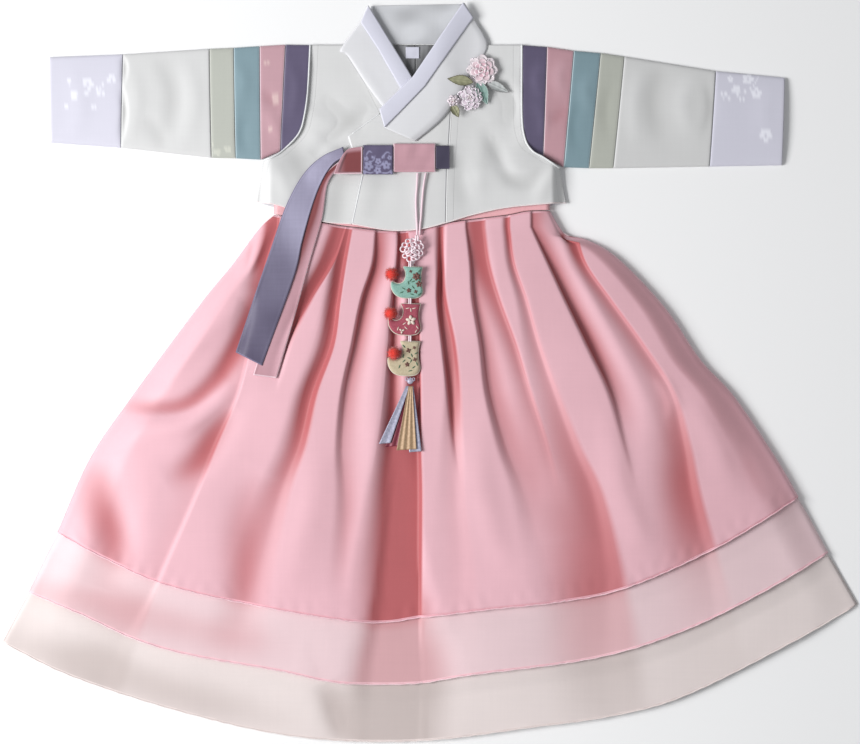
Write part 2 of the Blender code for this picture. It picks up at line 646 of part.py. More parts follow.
# Pieces of the knot: left and right x, low and high y, thickness, rise and finish.
TIE_ROW = {
    "tie_fold_pink": (-93, -65, 190, 218, 1.5, 4.4, "rose"),
    "tie_wrap_purple": (-64.5, -35.8, 190.5, 219.5, 4.5, 0, "purple"),
    "tie_loop_pink": (-35.4, 5.2, 193, 221, 3.5, 0, "rose"),
    "tie_end_purple": (5.6, 19, 196, 219, 2.5, 0, "dark_purple"),
}


def ties(parts):
    """The knotted ties: two tails and the folded row across the chest."""
    for name, (first, second), step, finish in (("tie_tail_pink", PINK_TAIL, 0, "rose"),
                                                ("tie_tail_purple", PURPLE_TAIL, 1, "purple")):
        rise = step * (RIBBON_WALL + SEAM_GAP)
        a, b = resample(through(first), 22), resample(through(second), 22)
        plan = np.stack([a, a + (b - a) / 3, a + (b - a) * 2 / 3, b], axis=1)
        level = resting_level(plan[..., 0], plan[..., 1], TIE_REACH) + rise
        parts.sheet(name, np.dstack([plan, level]), RIBBON_WALL, finish)
    for name, (left, right, low, high, thickness, rise, finish) in TIE_ROW.items():
        x, y = np.meshgrid(np.linspace(left, right, 3), np.linspace(low, high, 4))
        level = front_level(x, y) + 2 * LAP_STEP + rise
        parts.sheet(name, np.dstack([x, y, level]), thickness, finish)


def level_over(left, right, low, high):
    """The height at which a stiff piece rests on the cloth under its outline."""
    x, y = np.meshgrid(np.linspace(left, right, 15), np.linspace(low, high, 15))
    return float(ground(x, y).max()) + SEAM_GAP


# A boot's outline in shares of its width and height, its toe to the left.
BOOT = [(0.16, 1.0), (1.0, 0.97), (0.97, 0.45), (1.0, 0.12), (0.85, 0.0), (0.5, 0.02), (0.2, 0.12),
        (0.0, 0.45), (0.08, 0.55), (0.3, 0.42), (0.36, 0.62)]
BOOT_THICKNESS = 3.0
# Boots: left and right x, low and high y.
BOOTS = {
    "mint": (-37.5, -7, 71, 101.5),
    "wine": (-40, -9, 35.5, 66),
    "cream": (-40.5, -9.5, -3.5, 30),
}
POMPOM_RADIUS = 6.0
KNOT_RADIUS = 12
CORD_ROUTES = {
    "left": [(-12, 192), (-12.5, 180), (-13.5, 165), (-13, 150), (-12.5, 141), (-12.5, 132)],
    "right": [(-4, 192), (-6, 180), (-7.5, 165), (-8.5, 150), (-9.5, 141), (-10, 132)],
}
CORD_REACH = 3
# Ribbons of the tassel: x of the upper edge's ends, x of the lower edge's ends, low y, layer, finish.
TASSEL_TOP = -13.5
TASSEL_RIBBONS = {
    "tassel_ribbon_silver": ((-22.5, -19.5), (-48, -39), -69, 1, "silver"),
    "tassel_ribbon_wine": ((-20.5, -18.5), (-43, -30), -72, 0, "wine"),
    "tassel_ribbon_gold": ((-20, -17), (-30, -14), -75, 2, "gold"),
    "tassel_ribbon_white": ((-18.5, -16.5), (-19, -8.5), -77, 1, "silver"),
}
TASSEL_THICKNESS = 0.6


def ornament(parts):
    """The hanging ornament: cords, flower knot, boots with pompoms, and the ribbon tassel."""
    for side, route in CORD_ROUTES.items():
        x, y = np.array(route, float).T
        z = resting_level(x, y, CORD_REACH) + CORD_DIAMETER / 2 + SEAM_GAP
        parts.cord(f"ornament_cord_{side}", np.column_stack([x, y, z]), CORD_DIAMETER / 2, "rose")
    parts.dome("ornament_knot", (-17, 117, level_over(-28, -6, 102, 131)), KNOT_RADIUS, 4.5, "rose",
               petals=6, rings=2, around=24)
    for name, (left, right, low, high) in BOOTS.items():
        outline = [(left + (right - left) * x, low + (high - low) * y) for x, y in BOOT]
        parts.plate(f"charm_{name}", outline, level_over(left, right, low, high), BOOT_THICKNESS, name)
        x, y = np.array(left + 0.6), np.array(low + 0.8 * (high - low))
        centre = (float(x), float(y), float(resting_level(x, y, POMPOM_RADIUS)) + POMPOM_RADIUS)
        parts.ball(f"pompom_{name}", centre, POMPOM_RADIUS, "red")
    parts.dome("tassel_knot", (-19, -8.5, level_over(-24, -14, -12, -5)), 4.3, 3.0, "silver",
               rings=2, around=12)
    level = level_over(-48, -8, -78, -13)
    for name, (upper, lower, low, layer, finish) in TASSEL_RIBBONS.items():
        outline = [(upper[0], TASSEL_TOP), (upper[1], TASSEL_TOP), (lower[1], low), (lower[0], low + 1)]
        rise = layer * (TASSEL_THICKNESS + SEAM_GAP)
        parts.plate(name, outline, level + rise, TASSEL_THICKNESS, finish)


def leaf(parts, name, start, end, width, finish):
    """A flat pointed leaf between two tips."""
    start, end = np.array(start, float), np.array(end, float)
    along = end - start
    across = np.array([-along[1], along[0]]) / np.linalg.norm(along)
    part = np.linspace(0.06, 0.94, 5)
    bulge = width / 2 * np.sin(math.pi * part)
    upper = [tuple(start + along * t + across * b) for t, b in zip(part, bulge)]
    lower = [tuple(start + along * t - across * b) for t, b in zip(part, bulge)]
    outline = [tuple(start)] + lower + [tuple(end)] + upper[::-1]
    level = float(collar_level(start[0], start[1])) + LAP_STEP
    parts.plate(name, outline, max(level, float(collar_level(end[0], end[1])) + LAP_STEP), 0.8, finish)


def applique(parts):
    """Organza flowers and leaves on the chest."""
    rise = 0.8 + 2 * SEAM_GAP
    for name, x, y, radius, height, finish in (("flower_upper", 50.5, 292, 14.5, 4.0, "rose"),
                                               ("flower_lower", 38.5, 265, 11, 3.5, "rose"),
                                               ("flower_bud", 22.5, 262, 5, 2.5, "rose")):
        level = float(collar_level(x - radius, y)) + LAP_STEP + rise
        parts.dome(name, (x, y, level), radius, height, finish, petals=6)
    leaf(parts, "leaf_left", (17, 283), (40, 281), 10, "leaf")
    leaf(parts, "leaf_green", (47, 279), (55, 259), 9, "teal")
    leaf(parts, "leaf_grey", (58, 277), (76, 271), 8, "silver")
    leaf(parts, "leaf_small", (22, 256), (28, 247), 7, "leaf")


def build():
    for found in list(bpy.data.objects):
        bpy.data.objects.remove(found)
    parts = Hanbok()
    skirt(parts)
    jacket_body(parts)
    collar(parts)
    sleeves(parts)
    ties(parts)
    ornament(parts)
    applique(parts)


build()
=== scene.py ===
"""The looks of a child's hanbok that lies flat on a pale table.

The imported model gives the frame. Each cloth is laid as a fine surface over its plain solid: the skirt's
three layers with their pleats, the jacket with its collar and striped sleeves, the knotted ties, the
hanging ornament and the flowers on the chest. X runs across the garment, Y from the hem to the collar
and Z up from the table. Tables are in millimetres; meshes are in metres.
"""

import logging
import math
from collections.abc import Callable, Sequence
from dataclasses import dataclass, replace
from enum import Enum

import bpy
import numpy as np
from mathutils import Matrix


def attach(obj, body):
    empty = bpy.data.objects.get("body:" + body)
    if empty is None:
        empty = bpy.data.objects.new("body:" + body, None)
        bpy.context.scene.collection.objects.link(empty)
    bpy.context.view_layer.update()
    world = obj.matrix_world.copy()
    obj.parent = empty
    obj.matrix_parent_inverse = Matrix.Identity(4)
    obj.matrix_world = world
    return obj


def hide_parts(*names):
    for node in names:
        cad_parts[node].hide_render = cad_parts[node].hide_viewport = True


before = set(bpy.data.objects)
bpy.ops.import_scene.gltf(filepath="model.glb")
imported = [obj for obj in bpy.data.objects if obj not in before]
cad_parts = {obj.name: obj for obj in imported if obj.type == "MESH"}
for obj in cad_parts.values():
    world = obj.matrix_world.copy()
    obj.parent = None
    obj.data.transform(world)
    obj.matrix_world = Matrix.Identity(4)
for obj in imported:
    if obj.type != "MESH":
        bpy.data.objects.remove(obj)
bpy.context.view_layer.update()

LOG = logging.getLogger("hanbok")

Array = np.ndarray
Line = Sequence[tuple[float, float]]
Place = tuple[float, float, float]
Mesh = tuple[Array, list]
Colour = tuple[float, float, float]
MM = 0.001
BODY = "root"

# Driving dimensions of the solids, in millimetres.
SKIRT_WALL = 1.0
JACKET_WALL = 1.2
RIBBON_WALL = 1.0
SEAM_GAP = 0.3
LAYER_STEP = SKIRT_WALL + SEAM_GAP
JACKET_STEP = JACKET_WALL + SEAM_GAP
LAP_STEP = JACKET_WALL + 3 * SEAM_GAP
SKIRT_STACK = 6 * SKIRT_WALL + 5 * SEAM_GAP
SKIRT_DOME = 9.0
HIDDEN_INSET = 10.0
WAISTBAND_HEIGHT = 33.0
FRONT_LIFT = 8.3
SLEEVE_FLAT = 2.7
SLEEVE_PUFF = 3.0
CORD_DIAMETER = 2.0
SHOULDER_Y = 317.0
CLOTH = 0.7
SKIRT_LENGTH = 360.0
GOLDEN_TURN = 2.4

# Lines across the skirt: x against y.
WAIST_LINE: Line = [(-151, 152), (-105, 144), (-52, 137), (-17, 137), (25, 145), (73, 151), (94, 155),
                    (116, 156)]
OUTER_HEM: Line = [(-361, -155), (-306, -183), (-256, -204), (-176, -223), (-62, -241), (-6, -236),
                   (59, -228), (126, -221), (184, -209), (268, -173), (357, -121)]
MIDDLE_HEM: Line = [(-389, -213), (-337, -234), (-287, -257), (-232, -273), (-146, -288), (-87, -300),
                    (-16, -301), (40, -292), (159, -276), (243, -250), (312, -217), (386, -175)]
UNDER_HEM: Line = [(-414.5, -262), (-343, -296), (-232, -331), (-126, -353), (-16, -357.2), (96, -344),
                   (180, -332), (249, -312), (349, -262), (414.5, -225)]
SKIRT_LINES = (WAIST_LINE, OUTER_HEM, MIDDLE_HEM, UNDER_HEM)
LEFT_SIDE: Line = [(-151, 152), (-166, 138), (-192, 103), (-223, 65), (-291, -27), (-330, -85),
                   (-361, -155), (-389, -213), (-414.5, -262)]
RIGHT_SIDE: Line = [(116, 156), (131, 133), (147, 130), (181, 111), (228, 62), (262, 12), (295, -24),
                    (335, -83), (357, -121), (386, -175), (414.5, -225)]

# Outlines of the jacket.
HEM_LINE: Line = [(-168, 165), (-142, 160), (-105, 146), (-75, 143), (-39, 137), (-10, 138), (18, 145),
                  (41, 152), (74, 159), (115, 163), (132, 164)]
BACK_HEM: Line = [(-168, 165), (-142, 157), (-105, 149), (-52, 142), (-14, 142), (25, 150), (73, 156),
                  (116, 161), (132, 164)]
LEFT_ARMHOLE: Line = [(-161, 205), (-152, 208), (-143, 214), (-127, 231), (-121, 251), (-118, 278),
                      (-116, SHOULDER_Y)]
RIGHT_ARMHOLE: Line = [(126, 197), (118, 202), (109, 208), (99, 214), (92, 226), (89, 250),
                       (89, SHOULDER_Y)]
ARMHOLE_START = 2
BACK_SEAM_X = -14
UNDER_FRONT_EDGE: Line = [(-45, 137.3), (-44, 190), (-40, 250), (-55, 280), (-72, 306), (-76, SHOULDER_Y)]
PANEL_SEAM: Line = [(15, 144.3), (16, 195), (18, 221), (20, 254)]
OUTER_FRONT_NECK: Line = [(27, 275), (40, 298), (49, SHOULDER_Y)]
PANEL_EDGE: Line = [(-75, 143), (-65, 190), (-76, 218), (-79, 228)]


# ---------------------------------------------------------------- lines and surfaces

def smoothstep(value: Array | float, low: float, high: float) -> Array:
    """0 below low and 1 above high, with a smooth rise between them.

    Args:
        value: The places to look at.
        low: Where the rise starts.
        high: Where the rise ends.

    Returns:
        3 t^2 - 2 t^3, where t is the share of the way from low to high.
    """
    part = np.clip((np.asarray(value, float) - low) / (high - low), 0, 1)
    return part * part * (3 - 2 * part)


def through(points: Line, count: int = 160) -> Array:
    """A smooth line through the points (a Catmull-Rom curve).

    Args:
        points: The points, in any number of dimensions.
        count: How many places to return.

    Returns:
        Places along the line, one to a row.
    """
    points = np.array(points, float)
    ends = np.vstack([2 * points[0] - points[1], points, 2 * points[-1] - points[-2]])
    place = np.linspace(0, len(points) - 1, count)
    index = np.minimum(place.astype(int), len(points) - 2)
    part = (place - index)[:, None]
    p0, p1, p2, p3 = (ends[index + step] for step in range(4))
    return 0.5 * (2 * p1 + (p2 - p0) * part + (2 * p0 - 5 * p1 + 4 * p2 - p3) * part**2
                  + (3 * p1 - p0 - 3 * p2 + p3) * part**3)


def line_y(points: Line, x: Array | float) -> Array:
    """y of a smooth line that runs from left to right, at x."""
    dense = through(points)
    return np.interp(x, dense[:, 0], dense[:, 1])


def line_x(points: Line, y: Array | float) -> Array:
    """x of a smooth line that runs downwards, at y."""
    dense = through(points)
    return np.interp(-np.asarray(y, float), -dense[:, 1], dense[:, 0])


def resample(points: Line | Array, count: int) -> Array:
    """Places at even distances along a polyline.

    Args:
        points: Corners of the polyline.
        count: How many places to return.

    Returns:
        The places, one to a row.
    """
    points = np.array(points, float)
    run = np.concatenate([[0], np.cumsum(np.linalg.norm(np.diff(points, axis=0), axis=1))])
    wanted = np.linspace(0, run[-1], count)
    return np.column_stack([np.interp(wanted, run, points[:, axis]) for axis in range(points.shape[1])])


def smooth_edge(points: Line, count: int) -> Array:
    """Places at even distances along the smooth line through the points."""
    return resample(through(points), count)


def shifted(points: Line, x: float) -> Line:
    """The points, moved across by x."""
    return [(px + x, py) for px, py in points]


def hem_part(line: Line, start: float, end: float, count: int) -> Array:
    """Places along a line across the garment, between two x values."""
    x = np.linspace(start, end, count)
    return np.column_stack([x, line_y(line, x)])


def patch(left: Array, right: Array, bottom: Array, top: Array) -> Array:
    """A Coons patch: the sum of the two ruled surfaces less the bilinear one.

    Args:
        left: Places up the left edge.
        right: As many places up the right edge.
        bottom: Places along the bottom edge, from left to right.
        top: As many places along the top edge.

    Returns:
        Plan points, rows by columns by xy.
    """
    left, right, bottom, top = (np.array(edge, float) for edge in (left, right, bottom, top))
    up = np.linspace(0, 1, len(left))[:, None, None]
    across = np.linspace(0, 1, len(bottom))[None, :, None]
    sides = (1 - across) * left[:, None, :] + across * right[:, None, :]
    ends = (1 - up) * bottom[None, :, :] + up * top[None, :, :]
    corners = ((1 - up) * ((1 - across) * left[0] + across * right[0])
               + up * ((1 - across) * left[-1] + across * right[-1]))
    return sides + ends - corners


def half_round(distance: Array, reach: float) -> Array:
    """Share of full height at a distance from a rounded edge: a quarter circle of radius reach."""
    part = 1 - np.clip(distance / reach, 0, 1)
    return np.sqrt(np.clip(1 - part * part, 0, 1))


def ripple(x: Array, y: Array, wavelength: float, seed: int) -> Array:
    """An uneven wave between about -1 and 1: the mean of six sine waves that run different ways.

    Args:
        x: Places across.
        y: Places along.
        wavelength: The middle wave's length.
        seed: Picks the directions and starts of the waves.

    Returns:
        The height of the wave at each place.
    """
    draw = np.random.default_rng(seed)
    total = np.zeros(np.broadcast(x, y).shape)
    for _ in range(6):
        angle, start = draw.uniform(0, math.tau), draw.uniform(0, math.tau)
        stretch = draw.uniform(0.6, 1.5)
        along = x * math.cos(angle) + y * math.sin(angle)
        total += np.sin(along * math.tau * stretch / wavelength + start)
    return total / 3


@dataclass(frozen=True)
class Crease:
    """A soft ridge, or a trough where its height is negative, along a smooth line.

    Its section is a bell, wider on one side than on the other, and it fades at both ends.
    """

    path: Line
    left: float
    right: float
    height: float

    def relief(self, x: Array, y: Array) -> Array:
        """Height of the crease at each place.

        Args:
            x: Places across.
            y: Places along.

        Returns:
            height * exp(-(d / width)^2) * sin(pi s)^0.6, with d the distance to the line, the width
            that of the side it lies on, and s the share of the way along the line.
        """
        line = smooth_edge(self.path, 24)
        start, step = line[:-1], np.diff(line, axis=0)
        length = np.linalg.norm(step, axis=1)
        px, py = x.ravel()[:, None] - start[:, 0], y.ravel()[:, None] - start[:, 1]
        part = np.clip((px * step[:, 0] + py * step[:, 1]) / length**2, 0, 1)
        away = np.hypot(px - part * step[:, 0], py - part * step[:, 1])
        nearest = np.argmin(away, axis=1)
        row = np.arange(len(nearest))
        side = step[nearest, 0] * py[row, nearest] - step[nearest, 1] * px[row, nearest]
        width = np.where(side > 0, self.left, self.right)
        share = (nearest + part[row, nearest]) / len(step)
        bell = np.exp(-(away[row, nearest] / width) ** 2)
        return (self.height * bell * np.sin(math.pi * np.clip(share, 0.02, 0.98)) ** 0.6).reshape(x.shape)


def creased(creases: tuple[Crease, ...], x: Array, y: Array) -> Array:
    """The creases' heights added up at each place."""
    total = np.zeros(x.shape)
    for crease in creases:
        total += crease.relief(x, y)
    return total


# ---------------------------------------------------------------- finishes

class Nodes:
    """A node tree that is built by naming a node's kind, its settings and what feeds it."""

    def __init__(self, tree: bpy.types.NodeTree) -> None:
        """Keeps the tree."""
        self.tree = tree

    def add(self, kind: str, settings: dict | None = None, feeds: dict | None = None) -> bpy.types.Node:
        """Adds a node.

        Args:
            kind: The node's type without its ShaderNode prefix.
            settings: Properties to set on it.
            feeds: What each input takes, by name or number: a socket, a number or a colour.

        Returns:
            The new node.
        """
        node = self.tree.nodes.new(kind if kind.startswith("Node") else "ShaderNode" + kind)
        for key, value in (settings or {}).items():
            setattr(node, key, value)
        for key, value in (feeds or {}).items():
            if isinstance(value, bpy.types.NodeSocket):
                self.tree.links.new(value, node.inputs[key])
            else:
                node.inputs[key].default_value = value
        return node

    def math(self, operation: str, first: object, second: object = 0.0) -> object:
        """A sum on two values; returns its output socket."""
        return self.add("Math", {"operation": operation}, {0: first, 1: second}).outputs[0]

    def mix(self, factor: object, first: object, second: object, blend: str = "MIX") -> object:
        """A mix of two colours; returns its output socket."""
        node = self.add("Mix", {"data_type": "RGBA", "blend_type": blend}, {0: factor, 6: first, 7: second})
        return node.outputs[2]

    def field(self, name: str) -> object:
        """A value that the piece carries at its points."""
        return self.add("Attribute", {"attribute_name": name}).outputs["Fac"]


def shader_group(name: str, inputs: dict[str, tuple[str, float]], outputs: dict[str, str],
                 fill: Callable[[Nodes, bpy.types.Node, bpy.types.Node], None]) -> bpy.types.NodeTree:
    """Finds a node group by name, or makes it.

    Args:
        name: The group's name.
        inputs: Each input's socket type and default.
        outputs: Each output's socket type.
        fill: Builds the nodes between the group's input and its output.

    Returns:
        The group.
    """
    group = bpy.data.node_groups.get(name)
    if group:
        return group
    group = bpy.data.node_groups.new(name, "ShaderNodeTree")
    for label, (kind, default) in inputs.items():
        socket = group.interface.new_socket(label, in_out="INPUT", socket_type=kind)
        if kind == "NodeSocketFloat":
            socket.default_value = default
    for label, kind in outputs.items():
        group.interface.new_socket(label, in_out="OUTPUT", socket_type=kind)
    nodes = Nodes(group)
    fill(nodes, nodes.add("NodeGroupInput"), nodes.add("NodeGroupOutput"))
    return group


def blank_material(name: str) -> tuple[bpy.types.Material, Nodes, bpy.types.Node]:
    """A new material, its node tree and its Principled node."""
    material = bpy.data.materials.new(name)
    material.use_nodes = True
    return material, Nodes(material.node_tree), material.node_tree.nodes["Principled BSDF"]


def surface(nodes: Nodes, shader: bpy.types.Node, colour: object, bump: bpy.types.Node,
            constants: dict[str, float]) -> None:
    """Feeds a Principled node its colour and its bump, and sets its constants."""
    nodes.tree.links.new(colour, shader.inputs["Base Color"])
    nodes.tree.links.new(bump.outputs[0], shader.inputs["Normal"])
    for label, value in constants.items():
        shader.inputs[label].default_value = value


def woven_threads() -> bpy.types.NodeTree:
    """Plain weave with uneven threads. Tint is near 1 and Height near 0."""

    def fill(nodes: Nodes, given: bpy.types.Node, made: bpy.types.Node) -> None:
        """Two crossed waves for the threads, and stretched noise for their thick places."""
        heights, streaks = [], []
        for direction, stretch, tilt in (("X", (1.0, 0.035, 1.0), 0.0), ("Y", (0.035, 1.0, 1.0), 0.03)):
            wave = nodes.add("TexWave", {"wave_type": "BANDS", "bands_direction": direction},
                             {"Vector": given.outputs["Vector"], "Scale": given.outputs["Thread Scale"],
                              "Distortion": 0.6, "Detail": 0.0})
            heights.append(wave.outputs["Fac"])
            placed = nodes.add("Mapping", {}, {"Vector": given.outputs["Vector"], "Scale": stretch,
                                               "Rotation": (0.0, 0.0, tilt)})
            noise = nodes.add("TexNoise", {}, {"Vector": placed.outputs[0], "Detail": 2.0, "Roughness": 0.6,
                                               "Scale": given.outputs["Slub Scale"]})
            streaks.append(nodes.math("SUBTRACT", noise.outputs["Fac"], 0.5))
        weave = nodes.math("MULTIPLY", heights[0], heights[1])
        streak = nodes.math("MULTIPLY", nodes.math("ADD", streaks[0], streaks[1]), given.outputs["Slub"])
        nodes.tree.links.new(nodes.math("ADD", streak, 1.0), made.inputs["Tint"])
        nodes.tree.links.new(nodes.math("ADD", nodes.math("MULTIPLY", weave, given.outputs["Weave"]), streak),
                             made.inputs["Height"])

    return shader_group("woven_threads",
                        {"Vector": ("NodeSocketVector", 0.0), "Thread Scale": ("NodeSocketFloat", 700.0),
                         "Slub Scale": ("NodeSocketFloat", 900.0), "Slub": ("NodeSocketFloat", 0.2),
                         "Weave": ("NodeSocketFloat", 0.3)},
                        {"Tint": "NodeSocketFloat", "Height": "NodeSocketFloat"}, fill)


def sewn_line() -> bpy.types.NodeTree:
    """A row of stitches at one distance from an edge. Mask is 1 on the thread."""

    def fill(nodes: Nodes, given: bpy.types.Node, made: bpy.types.Node) -> None:
        """Thread where the distance is right and the run along the edge is inside a stitch."""
        away = nodes.math("ABSOLUTE", nodes.math("SUBTRACT", given.outputs["Edge"], given.outputs["At"]))
        near = nodes.add("MapRange", {"interpolation_type": "SMOOTHSTEP"},
                         {"Value": away, "From Min": 0.15, "From Max": 0.6, "To Min": 1.0, "To Max": 0.0})
        turn = nodes.math("FRACT", nodes.math("DIVIDE", given.outputs["Run"], given.outputs["Stitch"]))
        dash = nodes.math("GREATER_THAN", turn, 0.25)
        nodes.tree.links.new(nodes.math("MULTIPLY", near.outputs[0], dash), made.inputs["Mask"])

    return shader_group("sewn_line",
                        {"Edge": ("NodeSocketFloat", 0.0), "Run": ("NodeSocketFloat", 0.0),
                         "At": ("NodeSocketFloat", 5.0), "Stitch": ("NodeSocketFloat", 2.4)},
                        {"Mask": "NodeSocketFloat"}, fill)


@dataclass(frozen=True)
class Cloth:
    """A woven finish.

    deep is the colour that the painted_shade_and_tone field mixes in: painted shade in folds, in creases and
    on slopes turned from the light, and the cloth's own deeper tone where it lies double; hem the colour of
    its sewn edge, and motif that of its woven flowers.
    """

    name: str
    colour: Colour
    deep: Colour
    hem: Colour | None = None
    hem_width: float = 3.0
    motif: Colour | None = None
    roughness: float = 0.55
    specular: float = 0.3
    sheen: float = 0.25
    sheen_roughness: float = 0.4
    thread: float = 620.0
    slub_scale: float = 420.0
    slub: float = 0.12
    weave: float = 0.35
    bump: float = 0.00012
    stitches: tuple[float, ...] = ()
    blotch: float = 0.04

    def build(self) -> bpy.types.Material:
        """Makes the material, or finds it: weave, painted shade and deep tone, hem, stitches and motif on a
        soft sheen.
        """
        found = bpy.data.materials.get(self.name)
        if found:
            return found
        material, nodes, shader = blank_material(self.name)
        place = nodes.add("TexCoord").outputs["Object"]
        threads = nodes.add("Group", {"node_tree": woven_threads()},
                            {"Vector": place, "Thread Scale": self.thread, "Slub Scale": self.slub_scale,
                             "Slub": self.slub, "Weave": self.weave})
        # Painted shade, and the cloth's deeper tone where it lies double: the field mixes in the deep colour.
        colour = nodes.mix(nodes.field("painted_shade_and_tone"), (*self.colour, 1), (*self.deep, 1))
        cloudy = nodes.add("TexNoise", {}, {"Vector": place, "Scale": 14.0, "Detail": 3.0})
        shade = nodes.math("MULTIPLY", nodes.math("SUBTRACT", cloudy.outputs["Fac"], 0.5), self.blotch * 2)
        tint = nodes.math("ADD", threads.outputs["Tint"], shade)
        height = threads.outputs["Height"]
        if self.motif:
            flower = nodes.field("motif")
            colour = nodes.mix(flower, colour, (*self.motif, 1))
            height = nodes.math("ADD", height, nodes.math("MULTIPLY", flower, 0.6))
        edge = nodes.field("edge")
        if self.hem:
            turned = nodes.add("MapRange", {"interpolation_type": "SMOOTHSTEP"},
                               {"Value": edge, "From Min": self.hem_width, "From Max": self.hem_width * 0.8,
                                "To Min": 0.0, "To Max": 1.0}).outputs[0]
            colour = nodes.mix(turned, colour, (*self.hem, 1))
            height = nodes.math("ADD", height, nodes.math("MULTIPLY", turned, 0.5))
        for distance in self.stitches:
            row = nodes.add("Group", {"node_tree": sewn_line()},
                            {"Edge": edge, "Run": nodes.field("run"), "At": distance})
            height = nodes.math("SUBTRACT", height, nodes.math("MULTIPLY", row.outputs["Mask"], 1.5))
            tint = nodes.math("SUBTRACT", tint, nodes.math("MULTIPLY", row.outputs["Mask"], 0.10))
        colour = nodes.mix(1.0, colour, tint, "MULTIPLY")
        bump = nodes.add("Bump", {}, {"Strength": 0.6, "Distance": self.bump, "Height": height})
        surface(nodes, shader, colour, bump,
                {"Roughness": self.roughness, "Specular IOR Level": self.specular, "Sheen Weight": self.sheen,
                 "Sheen Roughness": self.sheen_roughness})
        return material


@dataclass(frozen=True)
class Trim:
    """The finish of a small made thing: bead, felt, yarn or foil, with mottling and a fine grain."""

    name: str
    colour: Colour
    other: Colour
    grain: float = 900.0
    roughness: float = 0.5
    metallic: float = 0.0
    specular: float = 0.4
    sheen: float = 0.0
    coat: float = 0.0
    bump: float = 0.0002

    def build(self) -> bpy.types.Material:
        """Makes the material, or finds it."""
        found = bpy.data.materials.get(self.name)
        if found:
            return found
        material, nodes, shader = blank_material(self.name)
        place = nodes.add("TexCoord").outputs["Object"]
        grain = nodes.add("TexNoise", {}, {"Vector": place, "Scale": self.grain, "Detail": 3.0})
        mottle = nodes.add("MapRange", {},
                           {"Value": grain.outputs["Fac"], "From Min": 0.35, "From Max": 0.65})
        colour = nodes.mix(mottle.outputs[0], (*self.colour, 1), (*self.other, 1))
        bump = nodes.add("Bump", {}, {"Strength": 0.5, "Distance": self.bump, "Height": grain.outputs["Fac"]})
        surface(nodes, shader, colour, bump,
                {"Roughness": self.roughness, "Metallic": self.metallic, "Specular IOR Level": self.specular,
                 "Sheen Weight": self.sheen, "Coat Weight": self.coat})
        return material


